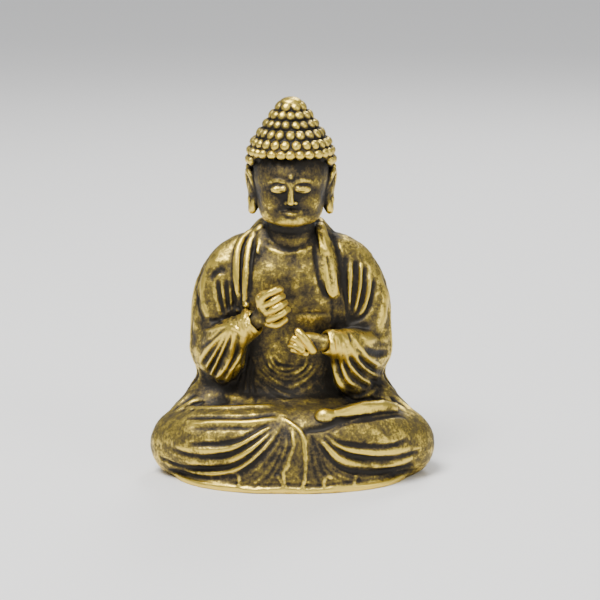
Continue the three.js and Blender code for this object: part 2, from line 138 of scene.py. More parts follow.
# %% Limbs
def spline(points, spacing):
    """Points about `spacing` apart on a smooth curve through the given ones (Catmull-Rom)."""
    points = np.asarray(points, float)
    ends = np.vstack([2 * points[0] - points[1], points, 2 * points[-1] - points[-2]])
    curve = []
    for before, start, stop, after in zip(ends, ends[1:], ends[2:], ends[3:]):
        steps = max(2, int(np.linalg.norm(stop - start) / spacing) + 1)
        t = np.linspace(0, 1, steps, endpoint=False)[:, None]
        curve.append(
            0.5 * (2 * start + (stop - before) * t + (2 * before - 5 * start + 4 * stop - after) * t**2
                   + (3 * start - before - 3 * stop + after) * t**3)
        )
    return np.vstack(curve + [points[-1:]])


def to_segment(where, a, b):
    """The distance of grid points from a segment, and how far along it the nearest point is, from 0 to 1."""
    along = np.asarray(b, float) - a
    offsets = [(w - c).astype(np.float32) for w, c in zip(where, a)]
    t = sum(o * np.float32(n) for o, n in zip(offsets, along)) / np.float32(max(along @ along, 1e-9))
    t = np.clip(t, 0, 1)
    squares = sum((o - t * np.float32(n)) ** 2 for o, n in zip(offsets, along))
    return np.sqrt(squares), t


def limb(block, joints, into=None, fillet=0):
    """A round-ended limb through joints (x, y, z, radius), alone or joined to another form."""
    into = block.air() if into is None else into
    curve = spline(joints, 0.5).astype(np.float32)
    margin = curve[:, 3].max() + 2.6
    box, _ = block.window(curve[:, :3].min(0) - margin, curve[:, :3].max(0) + margin)
    alone = np.full(into[box].shape, FAR, np.float32)
    corner = [part.start for part in box]
    for (*a, r_a), (*b, r_b) in zip(curve, curve[1:]):
        a, b = np.array(a), np.array(b)
        part, where = block.window(np.minimum(a, b) - margin, np.maximum(a, b) + margin)
        inner = tuple(slice(p.start - c, p.stop - c) for p, c in zip(part, corner))
        distance, t = to_segment(where, a, b)
        alone[inner] = np.minimum(alone[inner], distance - (r_a + t * (r_b - r_a)))
    into[box] = soft_union(into[box], alone, fillet) if fillet else np.minimum(into[box], alone)
    return into


trial = Clay([-3, -3, -3], [3, 3, 3], 0.1)
tell("a trial limb", trial, limb(trial, [(-1, 0, 0, 0.5), (1, 0, 0, 0.8)]))

# %% [markdown]
# The trunk, the lap and the cap of hair are stacks of ovals, as a CAD loft would be. An egg makes the
# skull, the palms and the beads of hair; it may be turned any way.

# %% Stacks and eggs
def stack(block, levels, squareness=2.0):
    """Oval sections (z, half width, half depth, y) stacked along Z."""
    x, y, z = block.window(*block.corners())[1]
    curve = spline(levels, 0.5)
    half_x, half_y, middle = (np.interp(z, curve[:, 0], curve[:, i]).astype(np.float32) for i in (1, 2, 3))
    x, y = np.abs(x) / half_x, np.abs(y - middle) / half_y
    radius = (x**squareness + y**squareness) ** (1 / squareness) + 1e-6
    slope = np.sqrt((x / half_x) ** 2 + (y / half_y) ** 2) / np.sqrt(x * x + y * y + 1e-6)
    side = (radius - 1) / slope
    ends = np.maximum(curve[0, 0] - z, z - curve[-1, 0])
    return -soft_union(-side, -ends + 0 * side, 0.8).astype(np.float32)


def oval(block, centre, radii, turn=None, into=None, fillet=0):
    """An egg with its radii along X, Y and Z, or along the three rows of `turn`."""
    into = block.air() if into is None else into
    centre, radii = np.asarray(centre, float), np.asarray(radii, float)
    turn = np.eye(3) if turn is None else np.asarray(turn, float)
    reach = radii.max() + 1.2
    part, where = block.window(centre - reach, centre + reach)
    offsets = [(w - c).astype(np.float32) for w, c in zip(where, centre)]
    shares = [
        sum(o * np.float32(n) for o, n in zip(offsets, row)) / np.float32(r) for row, r in zip(turn, radii)
    ]
    k = np.sqrt(sum(share**2 for share in shares)) + 1e-6
    slope = np.sqrt(sum((share / np.float32(r)) ** 2 for share, r in zip(shares, radii))) / k + 1e-6
    alone = (k - 1) / slope
    into[part] = soft_union(into[part], alone, fillet) if fillet else np.minimum(into[part], alone)
    return into


tell("a trial egg", trial, oval(trial, (0, 0, 0), (1.0, 1.5, 2.0)))
print(f"exactly, that egg would hold {4 / 3 * math.pi * 1.0 * 1.5 * 2.0:.2f} cubic mm")

# %% [markdown]
# ## The main forms
#
# Robe, arms and lap come first, as the plain masses that the CAD pieces also are, so the numbers below
# are shares of the CAD boxes. Each piece keeps its own form, because later the joined figure is cut
# along the line where one form gives way to the next. That puts the seams in the creases, where a
# founder would hide them.

# %% Sizes from the CAD
body_low, body_high = cad_box("body_casting")
lap_low, lap_high = cad_box("lap_casting")
seat, neck_base = body_low[2], body_high[2]
body_half, body_mid_y = body_high[0], (body_low[1] + body_high[1]) / 2
body_tall, body_half_depth = neck_base - seat, (body_high[1] - body_low[1]) / 2
lap_half, lap_top = lap_high[0], lap_high[2]
lap_front, lap_back = lap_low[1], lap_high[1]

GRAIN = 0.14
margin = 0.5
clay = Clay(
    [-lap_half - margin, lap_front - margin, -margin],
    [lap_half + margin, lap_back + margin, neck_base + 1.6],
    GRAIN,
)
print("clay block:", clay.form.shape, "grid points")


def up(share):
    """A height, as a share of the way from the seat to the base of the neck."""
    return seat + share * body_tall


# %% [markdown]
# ### Trunk and upper arms
#
# Under the robe the trunk is nearly a column. The robe itself hangs from the shoulders like a short
# cape and bridges the gap to the arms behind, so a second, wider stack makes the cape. Each arm is one
# limb, and a second limb is the cloth that falls from the elbow to the thigh.

# %% Trunk
def make_trunk():
    levels = [
        (-0.35, 0.84, 1.12, -0.6),
        (0.03, 0.80, 1.08, -0.5),
        (0.10, 0.74, 0.98, -0.2),
        (0.20, 0.69, 0.90, 0.1),
        (0.32, 0.665, 0.87, 0.15),
        (0.48, 0.66, 0.89, 0.1),
        (0.62, 0.66, 0.93, 0.0),
        (0.76, 0.62, 0.88, 0.0),
        (0.88, 0.50, 0.74, -0.05),
        (0.96, 0.36, 0.58, -0.2),
        (1.02, 0.27, 0.46, -0.3),
    ]
    mantle = [  # the robe across the back, which bridges from the trunk to the arms
        (-0.10, 0.84, 0.80, 0.7),
        (0.20, 0.88, 0.78, 0.6),
        (0.45, 0.92, 0.74, 0.6),
        (0.66, 0.90, 0.72, 0.55),
        (0.80, 0.76, 0.64, 0.4),
        (0.90, 0.50, 0.50, 0.2),
    ]
    core, cape = (
        stack(clay, [(up(z), w * body_half, d * body_half_depth, body_mid_y + y) for z, w, d, y in rows], 2.15)
        for rows in (levels, mantle)
    )
    return soft_union(core, cape, 0.8)


trunk = make_trunk()
tell("trunk", clay, trunk)


# %% Upper arms
def make_arm(side):
    """The upper arm under the robe, and the fold of robe that falls from the elbow to the thigh."""
    arm = limb(clay, [
        (side * 0.26 * body_half, body_mid_y, up(0.905), 1.45),
        (side * 0.48 * body_half, body_mid_y - 0.05, up(0.855), 2.05),
        (side * 0.635 * body_half, body_mid_y - 0.1, up(0.745), 2.60),
        (side * 0.715 * body_half, body_mid_y - 0.4, up(0.53), 2.75),
        (side * 0.745 * body_half, body_mid_y - 1.1, up(0.33), 2.72),
    ])
    return limb(clay, [
        (side * 0.70 * body_half, body_mid_y - 0.2, up(0.30), 2.3),
        (side * 0.73 * body_half, body_mid_y - 0.1, up(0.12), 2.1),
        (side * 0.80 * body_half, body_mid_y - 0.1, up(0.0), 2.3),
    ], arm, 1.2)


for side in (-1, 1):
    trunk = soft_union(trunk, make_arm(side), 1.6)
tell("trunk and arms", clay, trunk)

# %% [markdown]
# ### Sleeves
#
# A wide sleeve hangs from the forearm like a curtain. Five short limbs side by side make the curtain;
# the hem is lower on the left side, as on the figure.

# %% Sleeves
cuffs = {
    side: np.array((side * 0.385 * body_half, body_low[1] - 1.85, up(height)))
    for side, height in ((-1, 0.53), (1, 0.425))
}


def make_sleeve(side):
    """The forearm, and the cloth that hangs from it to the lap."""
    elbow = np.array((side * 0.745 * body_half, body_mid_y - 1.6, up(0.30)))
    cuff = cuffs[side]
    middle = (elbow + cuff) / 2 + (side * 0.55, -0.2, 0)
    form = limb(clay, [(*elbow, 2.35), (*middle, 1.95), (*cuff, 1.38)])
    hem_z = up(0.145 if side < 0 else 0.055)
    front = 0.5 if side < 0 else 0.62
    for share in (0.05, 0.28, 0.5, 0.72, 1.0):
        top = elbow + share * front * (cuff - elbow)
        bottom = (*(top[:2] + (0, 0.1)), hem_z + 1.1 + 1.3 * share**3)
        limb(clay, [(*top, 1.5), (*((top + bottom) / 2), 1.35), (*bottom, 1.15)], form, 0.8)
    return form


sleeves = {side: make_sleeve(side) for side in (-1, 1)}
for side, name in ((-1, "right sleeve"), (1, "left sleeve")):
    tell(name, clay, sleeves[side])

# %% [markdown]
# ### Lap
#
# The legs are crossed flat, so the lap is a low stack of ovals with a thigh and a shin on each side,
# and cloth stretched between the shins.

# %% Lap
def make_lap():
    form = stack(clay, [
        (-1.2, 0.845 * lap_half, 0.955 * lap_back, 0),
        (0.0, 0.842 * lap_half, 0.950 * lap_back, 0),
        (0.9, 0.812 * lap_half, 0.925 * lap_back, 0),
        (2.6, 0.750 * lap_half, 0.885 * lap_back, 0),
        (4.8, 0.640 * lap_half, 0.820 * lap_back, 0),
        (6.6, 0.500 * lap_half, 0.730 * lap_back, 0.1),
        (7.6, 0.380 * lap_half, 0.600 * lap_back, 0.4),
    ], 2.4)
    for side in (-1, 1):
        knee = (side * (lap_half - (3.9 if side < 0 else 3.6)), -0.11 * lap_back, 3.15, 3.5)
        thigh = limb(clay, [
            (side * 0.24 * lap_half, 0.50 * lap_back, 4.6, 4.0),
            (side * 0.46 * lap_half, 0.32 * lap_back, 4.9, 3.9),
            (side * 0.62 * lap_half, 0.12 * lap_back, 4.4, 3.6),
            knee,
        ])
        shin = limb(clay, [
            knee,
            (side * 0.60 * lap_half, -0.36 * lap_back, 4.0, 3.45),
            (side * 0.34 * lap_half, -0.50 * lap_back, 4.75, 3.20),
            (side * 0.08 * lap_half, -0.54 * lap_back, 5.2, 2.80),
        ])
        form = soft_union(form, soft_union(thigh, shin, 0.8), 0.7)
    # The cloth between the shins, which the apron's pleats are drawn on.
    for y, z, radius in ((-0.61, 2.7, 3.0), (-0.56, 4.4, 2.75)):
        middle = [(x * lap_half, y * lap_back, z, radius) for x in (-0.24, -0.08, 0.08, 0.24)]
        form = soft_union(form, limb(clay, middle), 1.5)
    return form


lap = make_lap()
tell("lap", clay, lap)

# %% One figure, and the mouths of the sleeves
clay.form = soft_union(trunk, lap, 2.2)
for side in (-1, 1):
    clay.form = soft_union(clay.form, sleeves[side], 0.4)

for side, cuff in cuffs.items():
    outward = np.array((-side * 0.80, -0.42, 0.42 if side < 0 else 0.1))
    funnel = ((2.2, 1.3), (1.0, 1.05), (-0.1, 0.85))  # how far out, and how wide there
    mouth = limb(clay, [(*(cuff + reach * outward), radius) for reach, radius in funnel])
    clay.form = soft_cut(clay.form, mouth, 0.25)
tell("whole robe", clay, clay.form)

# %% [markdown]
# ## Drawing on the figure
#
# A fold is drawn as a sculptor scores it: on one view of the figure, as a line through a few points,
# which is then carried straight on to the surface. The points are shares of the body's or the lap's
# width and height, so the folds follow the castings if those change. A brush raises the clay along the
# line or presses it in.

# %% Reading the clay
def sample(block, field, points):
    """A field's value at any points, from the eight grid points round each."""
    at = (np.asarray(points, float) - block.low) / block.grain
    at = np.clip(at, 0, np.array(field.shape) - 1.001)
    cell = at.astype(int)
    part = at - cell
    value = 0
    for corner in np.ndindex(2, 2, 2):
        weight = np.prod(np.where(corner, part, 1 - part), axis=-1)
        i, j, k = (cell + corner).T
        value = value + weight * field[i, j, k].T
    return value


def normals(block, points, field):
    """Which way the surface of a field faces at some points."""
    slope = np.stack([
        sample(block, field, points + step) - sample(block, field, points - step)
        for step in np.eye(3) * block.grain
    ], -1)
    return slope / (np.linalg.norm(slope, axis=-1, keepdims=True) + 1e-9)


def carry(block, starts, direction, field=None):
    """Where straight lines from the starts first meet the surface, or come nearest to it."""
    field = block.form if field is None else field
    starts, direction = np.atleast_2d(starts).astype(float), np.asarray(direction, float)
    steps = np.arange(0, 50, block.grain)
    reach = starts[:, None, :] + steps[None, :, None] * direction
    value = sample(block, field, reach.reshape(-1, 3)).reshape(len(starts), -1)
    inside = value < 0
    hit = np.argmax(inside, axis=1)
    missed = ~inside.any(axis=1)
    hit[missed] = np.argmin(np.abs(value[missed]), axis=1) if missed.any() else 0
    rows, before = np.arange(len(starts)), np.maximum(hit - 1, 0)
    v0, v1 = value[rows, before], value[rows, hit]
    share = np.where(missed, 1, v0 / np.where(np.abs(v0 - v1) < 1e-6, 1, v0 - v1))
    return starts + direction * (block.grain * (before + np.clip(share, 0, 1)))[:, None]


print("the chest is at y =", np.round(carry(clay, (0, -30, up(0.7)), (0, 1, 0))[0][1], 2), "mm")

# %% The brush
def flat_topped(q):
    rise = np.clip((1 - q) / 0.35, 0, 1)
    return rise**2 * (3 - 2 * rise)


PROFILES = {  # how high the brush lifts the clay, from its middle at 0 to its edge at 1
    "round": lambda q: (1 - q * q) ** 2,  # a soft roll of cloth
    "crease": lambda q: (1 - q) ** 2,  # a sharp line
    "band": flat_topped,  # a strip of doubled cloth
}


def stroke(block, path, width, height, kind="round", taper=(0.25, 0.25)):
    """Raises the clay along a path on the surface, or with a negative height presses it in."""
    path = spline(path, 0.3)
    length = np.concatenate([[0], np.cumsum(np.linalg.norm(np.diff(path, axis=0), axis=1))])
    along = length / length[-1]
    rise = np.minimum(1, np.minimum((along + 0.02) / (taper[0] + 0.02), (1.02 - along) / (taper[1] + 0.02)))
    rise = rise * (2 - rise)
    box, _ = block.window(path.min(0) - width, path.max(0) + width)
    bump = np.zeros(block.form[box].shape, np.float32)
    corner = np.array([part.start for part in box])
    for a, b, r_a, r_b in zip(path, path[1:], rise, rise[1:]):
        part, where = block.window(np.minimum(a, b) - width, np.maximum(a, b) + width)
        distance, t = to_segment(where, a, b)
        q = np.minimum(distance / width, 1)
        inner = tuple(slice(p.start - c, p.stop - c) for p, c in zip(part, corner))
        shape = PROFILES[kind](q) * (r_a + t * (r_b - r_a))
        bump[inner] = np.maximum(bump[inner], shape[tuple(slice(0, n) for n in bump[inner].shape)])
    block.form[box] -= height * bump


def dab(block, point, radius, height):
    """Raises or presses one round spot, or an oval one if radius holds three numbers."""
    point, radius = np.asarray(point, float), np.broadcast_to(np.asarray(radius, float), 3)
    part, (x, y, z) = block.window(point - radius, point + radius)
    shares = [(axis - middle) / reach for axis, middle, reach in zip((x, y, z), point, radius)]
    block.form[part] -= height * np.maximum(1 - sum(share**2 for share in shares), 0) ** 2


print("brush profiles:", ", ".join(PROFILES))

# %% Views to draw on
# Each view turns a share of the width and of the height into a start far outside and a direction.
def chest(u, v):
    return (u * body_half, -30, up(v)), (0, 1, 0)


def back(u, v):
    return (u * body_half, 30, up(v)), (0, -1, 0)


def right_flank(u, v):
    return (-30, body_mid_y + u * body_half_depth, up(v)), (1, 0, 0)


def left_flank(u, v):
    return (30, body_mid_y + u * body_half_depth, up(v)), (-1, 0, 0)


def lap_face(u, v):
    return (u * lap_half, -30, v * lap_top), (0, 1, 0)


def lap_rear(u, v):
    return (u * lap_half, 30, v * lap_top), (0, -1, 0)


def lap_above(u, v):
    return (u * lap_half, v * lap_back, 30), (0, 0, -1)


start, direction = chest(0, 0.5)
print("halfway up the chest, a line starts at", np.round(start, 1), "and runs along", direction)

# %% Folds
def on_surface(view, points):
    """Points drawn on a view, carried on to the clay; from above, past the sleeves to the bare lap."""
    starts = [view(*point)[0] for point in spline(points, 0.04)]
    return carry(clay, starts, view(*points[0])[1], lap if view is lap_above else clay.form)


def fold(view, points, width, height, kind="round", taper=(0.25, 0.25)):
    """One fold, or with a negative height one furrow, drawn on a view of the robe."""
    stroke(clay, on_surface(view, points), width, height, kind, taper)


def folds(view, first, last, count, width, height, kind="round", taper=(0.25, 0.25), sway=0.0, seed=1):
    """A family of folds between two guide lines, each a little off its place if `sway` says so."""
    first, last = np.array(first), np.array(last)
    chance = np.random.default_rng(seed)
    for i in range(count):
        share = i / (count - 1) if count > 1 else 0.5
        line = first + (last - first) * share
        line[1:-1] += chance.uniform(-sway, sway, line[1:-1].shape)
        fold(view, line, width * chance.uniform(0.9, 1.1), height * chance.uniform(0.8, 1.1), kind, taper)


print("folds can now be drawn on", clay.form.size, "grid points of robe")

# %% [markdown]
# ### Chest and collar
#
# The chest is bare cloth with two faint bows at the neck. The robe's edge comes down on both sides of
# it: two narrow strips on the right, one broad strip with rolled edges on the left. Behind the neck the
# edge stands up as a collar. A limb makes the collar, because a stroke only shifts clay that is already
# there.

# %% Chest
for side in (-1, 1):
    dab(clay, on_surface(chest, [(side * 0.22 - 0.02, 0.79), (side * 0.22, 0.79)])[0], (2.4, 2.0, 2.2), 0.2)
fold(chest, [(-0.02, 0.86), (-0.02, 0.76), (-0.02, 0.62)], 0.9, -0.05)
for level in (0.945, 0.905):
    bow = [(-0.30, level + 0.035), (-0.16, level), (-0.02, level - 0.012), (0.12, level), (0.24, level + 0.035)]
    fold(chest, bow, 0.28, 0.13)
tell("robe with the chest folds", clay, clay.form)

# %% Collar
collar = [
    (-0.33, 0.90, -1.1), (-0.285, 0.985, -0.45), (-0.28, 1.03, 0.15), (-0.20, 1.03, 0.62), (0, 1.02, 0.82),
    (0.20, 1.03, 0.62), (0.28, 1.03, 0.15), (0.285, 0.985, -0.45), (0.34, 0.90, -1.1),
]
collar = [(x * body_half, body_mid_y - 0.2 + y * 2.9, up(z)) for x, z, y in collar]
collar_radii = (0.1, 0.36, 0.5, 0.52, 0.52, 0.52, 0.5, 0.36, 0.1)
# A wider roll just outside and below it leads down to the shoulders.
slope = [(1.12 * x, y + 0.45, z - 0.75, 1.5 * radius) for (x, y, z), radius in zip(collar, collar_radii)]
limb(clay, slope[1:-1], clay.form, 1.0)
limb(clay, [(*point, radius) for point, radius in zip(collar, collar_radii)], clay.form, 0.6)
tell("robe with its collar", clay, clay.form)

# %% The edge of the robe
inner_right = [(-0.30, 1.02), (-0.38, 0.97), (-0.42, 0.89), (-0.44, 0.78), (-0.45, 0.66), (-0.44, 0.58)]
outer_right = [(-0.40, 0.99), (-0.49, 0.94), (-0.53, 0.86), (-0.53, 0.72), (-0.52, 0.64)]
fold(chest, inner_right, 0.42, 0.42, "band", (0.02, 0.15))
fold(chest, outer_right, 0.42, 0.34, "band", (0.05, 0.2))
fold(chest, [(-0.35, 1.0), (-0.44, 0.95), (-0.48, 0.88), (-0.485, 0.76), (-0.48, 0.62)], 0.34, -0.30)
fold(chest, [(-0.34, 0.93), (-0.375, 0.88), (-0.39, 0.78), (-0.40, 0.66)], 0.35, -0.22)
inner_left = [(0.25, 1.02), (0.28, 0.95), (0.31, 0.83), (0.345, 0.72), (0.40, 0.655)]
outer_left = [(0.33, 1.0), (0.39, 0.94), (0.43, 0.84), (0.45, 0.72), (0.455, 0.67)]
fold(chest, [(0.29, 1.02), (0.335, 0.95), (0.37, 0.83), (0.395, 0.72), (0.42, 0.67)], 0.80, 0.26, "band",
     (0.02, 0.06))
fold(chest, inner_left, 0.26, 0.24)
fold(chest, outer_left, 0.26, 0.24)
fold(chest, [(0.29, 0.99), (0.335, 0.93), (0.37, 0.83), (0.40, 0.72)], 0.24, -0.14)
fold(chest, [(0.345, 0.71), (0.40, 0.65), (0.455, 0.68)], 0.26, 0.22)
fold(chest, [(0.22, 0.95), (0.25, 0.83), (0.29, 0.72), (0.36, 0.64)], 0.4, -0.26)
fold(chest, [(0.42, 0.97), (0.47, 0.88), (0.50, 0.78), (0.50, 0.66)], 0.4, -0.30)
fold(chest, [(0.40, 0.64), (0.41, 0.58), (0.41, 0.50)], 0.3, -0.2, "crease")
tell("robe with its edge", clay, clay.form)

# %% Where the edge runs
# The same line again, from the right hand round the neck to the left, for the piece that is cut out later.
band_path = [
    *on_surface(chest, inner_right[::-1][1:-1]), *collar[1:-1],
    *on_surface(chest, [(0.29, 1.0), (0.335, 0.94), (0.37, 0.83), (0.395, 0.73), (0.42, 0.68)])[1:],
]
print("the edge of the robe runs through", len(band_path), "points")

# %% The under-robe, a plain sash across the belly
fold(chest, [(0.02, 0.56), (0.16, 0.565), (0.39, 0.555)], 0.22, -0.12, "crease")
fold(chest, [(0.395, 0.57), (0.40, 0.51), (0.395, 0.44)], 0.22, -0.14, "crease")
fold(chest, [(0.02, 0.505), (0.18, 0.51), (0.38, 0.50)], 0.95, 0.10, "band", (0.02, 0.02))
tell("robe with the sash", clay, clay.form)

# %% [markdown]
# ### Arms
#
# On the left arm four long hollows, with rolls between them, gather above the elbow. The right arm is
# smoother: a hollow below the shoulder, a long seam down the outside, and soft upright folds. Every
# fold is drawn twice, as a ridge and as the furrow beside it, because the dark finish of the brass
# settles in furrows.

# %% Left arm
gather = (0.58, 0.49)
fold(chest, [(0.535, 0.86), (0.525, 0.78), (0.54, 0.66), gather], 0.42, -0.42, taper=(0.1, 0.6))
fold(chest, [(0.64, 0.83), (0.64, 0.74), (0.61, 0.60), gather], 0.46, -0.48, taper=(0.1, 0.6))
fold(chest, [(0.735, 0.80), (0.725, 0.70), (0.68, 0.58), gather], 0.46, -0.48, taper=(0.1, 0.6))
fold(chest, [(0.83, 0.72), (0.80, 0.63), (0.73, 0.54), gather], 0.46, -0.46, taper=(0.1, 0.6))
fold(chest, [(0.59, 0.84), (0.58, 0.72), (0.575, 0.60), gather], 0.36, 0.20, taper=(0.2, 0.4))
fold(chest, [(0.69, 0.82), (0.68, 0.70), (0.64, 0.58), gather], 0.36, 0.22, taper=(0.2, 0.4))
fold(chest, [(0.78, 0.76), (0.76, 0.65), (0.70, 0.55), gather], 0.36, 0.22, taper=(0.2, 0.4))
fold(chest, [(0.93, 0.66), (0.92, 0.56), (0.86, 0.46), (0.72, 0.42)], 0.9, 0.22)
fold(chest, [(0.66, 0.455), (0.78, 0.415), (0.96, 0.375)], 0.55, 0.22)
fold(chest, [(0.73, 0.375), (0.83, 0.33), (0.96, 0.30)], 0.6, -0.42)
tell("robe with the left arm's folds", clay, clay.form)

# %% Right arm
fold(chest, [(-0.78, 0.73), (-0.755, 0.765), (-0.70, 0.785), (-0.64, 0.78)], 0.5, -0.34, taper=(0.4, 0.5))
fold(chest, [(-0.82, 0.80), (-0.74, 0.83), (-0.62, 0.84)], 0.7, 0.16)
fold(chest, [(-0.72, 0.74), (-0.70, 0.65), (-0.66, 0.54)], 0.4, -0.26)
fold(chest, [(-0.64, 0.74), (-0.63, 0.65), (-0.61, 0.54)], 0.4, -0.28)
fold(chest, [(-0.57, 0.72), (-0.56, 0.64), (-0.56, 0.55)], 0.4, -0.26)
folds(chest, [(-0.76, 0.72), (-0.74, 0.63), (-0.68, 0.53)], [(-0.60, 0.72), (-0.59, 0.64), (-0.58, 0.54)],
      3, 0.34, 0.14)
fold(chest, [(-0.86, 0.82), (-0.925, 0.68), (-0.92, 0.56), (-0.86, 0.50)], 0.3, -0.26)
fold(chest, [(-0.80, 0.84), (-0.865, 0.72), (-0.87, 0.60), (-0.80, 0.50)], 0.5, 0.22)
fold(chest, [(-0.84, 0.52), (-0.76, 0.50), (-0.66, 0.52)], 0.35, -0.24)
tell("robe with both arms' folds", clay, clay.form)

# %% [markdown]
# ### The sleeves' folds
#
# On the right sleeve the folds fan out of the cuff, and the hem turns up in a small hook. On the left
# sleeve they fall from the cuff in nested curves, like the rings of a shell.

# %% Right sleeve
knot = (-0.585, 0.525)
right_sleeve_folds = [
    [knot, (-0.70, 0.495), (-0.87, 0.43)],
    [knot, (-0.68, 0.46), (-0.80, 0.37), (-0.90, 0.27)],
    [knot, (-0.66, 0.45), (-0.74, 0.34), (-0.84, 0.22)],
    [knot, (-0.62, 0.45), (-0.68, 0.34), (-0.79, 0.185)],
    [knot, (-0.56, 0.44), (-0.58, 0.34), (-0.65, 0.235), (-0.735, 0.165)],
]
for line in right_sleeve_folds:
    fold(chest, line, 0.32, 0.26, taper=(0.15, 0.2))
for first, second in zip(right_sleeve_folds, right_sleeve_folds[1:]):
    ends = [(np.array(first[0]) + second[0]) / 2, (np.array(first[1]) + second[1]) / 2 - (0, 0.005),
            (np.array(first[-1]) + second[-1]) / 2]
    fold(chest, ends, 0.30, -0.30, taper=(0.3, 0.15))
fold(chest, [(-0.42, 0.54), (-0.44, 0.44), (-0.49, 0.33), (-0.58, 0.245), (-0.62, 0.17), (-0.68, 0.135),
             (-0.74, 0.15)],
     0.34, 0.34, taper=(0.05, 0.05))
fold(chest, [(-0.51, 0.48), (-0.52, 0.36), (-0.60, 0.26), (-0.66, 0.185)], 0.32, -0.34, taper=(0.2, 0.1))
for top, foot_x in ((-0.50, -0.47), (-0.455, -0.415), (-0.41, -0.37)):
    line = [(top, 0.60), (top - 0.02, 0.55), (foot_x - 0.02, 0.50), (foot_x + 0.02, 0.46)]
    fold(chest, line, 0.26, -0.22)
fold(chest, [(-0.56, 0.58), (-0.50, 0.555), (-0.44, 0.575)], 0.3, 0.22)
fold(chest, [(-0.58, 0.52), (-0.50, 0.50), (-0.44, 0.46)], 0.3, 0.2)
tell("robe with the right sleeve's folds", clay, clay.form)

# %% Left sleeve
left_edge = [(0.40, 0.445), (0.41, 0.33), (0.43, 0.235), (0.48, 0.155), (0.58, 0.085), (0.68, 0.065),
             (0.78, 0.075), (0.85, 0.10)]
fold(chest, left_edge, 0.34, 0.36, taper=(0.05, 0.1))
left_sleeve_folds = [
    [(0.47, 0.44), (0.475, 0.35), (0.51, 0.26), (0.56, 0.19), (0.62, 0.15)],
    [(0.50, 0.44), (0.53, 0.34), (0.60, 0.26), (0.69, 0.195), (0.80, 0.14)],
    [(0.545, 0.45), (0.60, 0.37), (0.70, 0.265), (0.82, 0.19), (0.92, 0.14)],
    [(0.60, 0.455), (0.69, 0.375), (0.77, 0.305), (0.87, 0.24)],
]
for line in left_sleeve_folds:
    fold(chest, line, 0.32, 0.27, taper=(0.1, 0.2))
furrow_shifts = ((-0.035, -0.02), (-0.03, -0.03), (-0.03, -0.035), (-0.035, -0.035))
for line, shift in zip(left_sleeve_folds, furrow_shifts):
    fold(chest, [np.array(point) + shift for point in line[1:]], 0.32, -0.34, taper=(0.3, 0.15))
fold(chest, [(0.40, 0.45), (0.42, 0.36)], 0.45, 0.16, taper=(0.1, 0.6))
for top in (0.43, 0.49, 0.56):
    fold(chest, [(top, 0.475), (top + 0.015, 0.44), (top + 0.01, 0.40)], 0.24, -0.2)
tell("robe with both sleeves' folds", clay, clay.form)

# %% [markdown]
# ### Belly
#
# The under-robe lies over the belly in shallow bows that hang between the two sleeves. They are too
# many to draw one by one, so two guide lines are given and the rest lie between them, each a little off
# its place.

# %% Belly
folds(chest, [(-0.17, 0.34), (-0.13, 0.28), (-0.04, 0.26), (0.06, 0.28), (0.10, 0.34)],
      [(-0.42, 0.32), (-0.36, 0.18), (-0.04, 0.075), (0.28, 0.16), (0.37, 0.28)], 9, 0.24, 0.07, sway=0.012)
folds(chest, [(-0.20, 0.33), (-0.15, 0.265), (-0.04, 0.245), (0.08, 0.265), (0.13, 0.33)],
      [(-0.40, 0.31), (-0.34, 0.19), (-0.04, 0.09), (0.26, 0.17), (0.35, 0.28)], 8, 0.2, -0.09, sway=0.012)
folds(chest, [(-0.46, 0.34), (-0.50, 0.20), (-0.58, 0.10)], [(-0.36, 0.26), (-0.38, 0.16), (-0.34, 0.06)],
      4, 0.3, -0.16)
tell("robe with the belly's folds", clay, clay.form)

# %% [markdown]
# ### Legs
#
# Rolls run along the top of the right shin, and the robe spreads from under the sleeves over both
# thighs. Below that the folds wrap each knee and run to the middle, where the cloth is caught under the
# ankles.

# %% Thighs and shins
fold(lap_above, [(-0.76, -0.14), (-0.62, -0.32), (-0.46, -0.44), (-0.28, -0.49), (-0.12, -0.49)],
     0.60, 0.50)
fold(lap_above, [(-0.70, -0.08), (-0.56, -0.22), (-0.42, -0.33), (-0.28, -0.37)], 0.42, -0.26)
fold(lap_above, [(-0.60, -0.06), (-0.48, -0.17), (-0.36, -0.26), (-0.24, -0.29)], 0.46, 0.30)
fold(lap_face, [(-0.72, 0.755), (-0.52, 0.805), (-0.28, 0.835), (-0.10, 0.86)], 0.34, -0.34)
fold(lap_face, [(-0.68, 0.715), (-0.52, 0.76), (-0.30, 0.79), (-0.10, 0.82)], 0.36, 0.30)
fold(lap_face, [(-0.66, 0.675), (-0.45, 0.715), (-0.20, 0.745), (-0.08, 0.78)], 0.3, -0.22)
spread = [
    ((0.66, 0.10), (0.86, -0.10), 0.22),
    ((0.62, -0.02), (0.81, -0.21), 0.26),
    ((0.58, -0.16), (0.73, -0.31), 0.2),
]
for side in (-1, 1):
    for start, stop, height in spread:
        middle = ((start[0] + stop[0]) / 2 + 0.02, (start[1] + stop[1]) / 2 + 0.02)
        line = [(side * u, v) for u, v in (start, middle, stop)]
        fold(lap_above, line, 0.5, height, taper=(0.2, 0.4))
        furrow = [(u - side * 0.035, v - 0.045) for u, v in line]
        fold(lap_above, furrow, 0.4, -0.8 * height, taper=(0.2, 0.4))
tell("robe with the legs' folds", clay, clay.form)

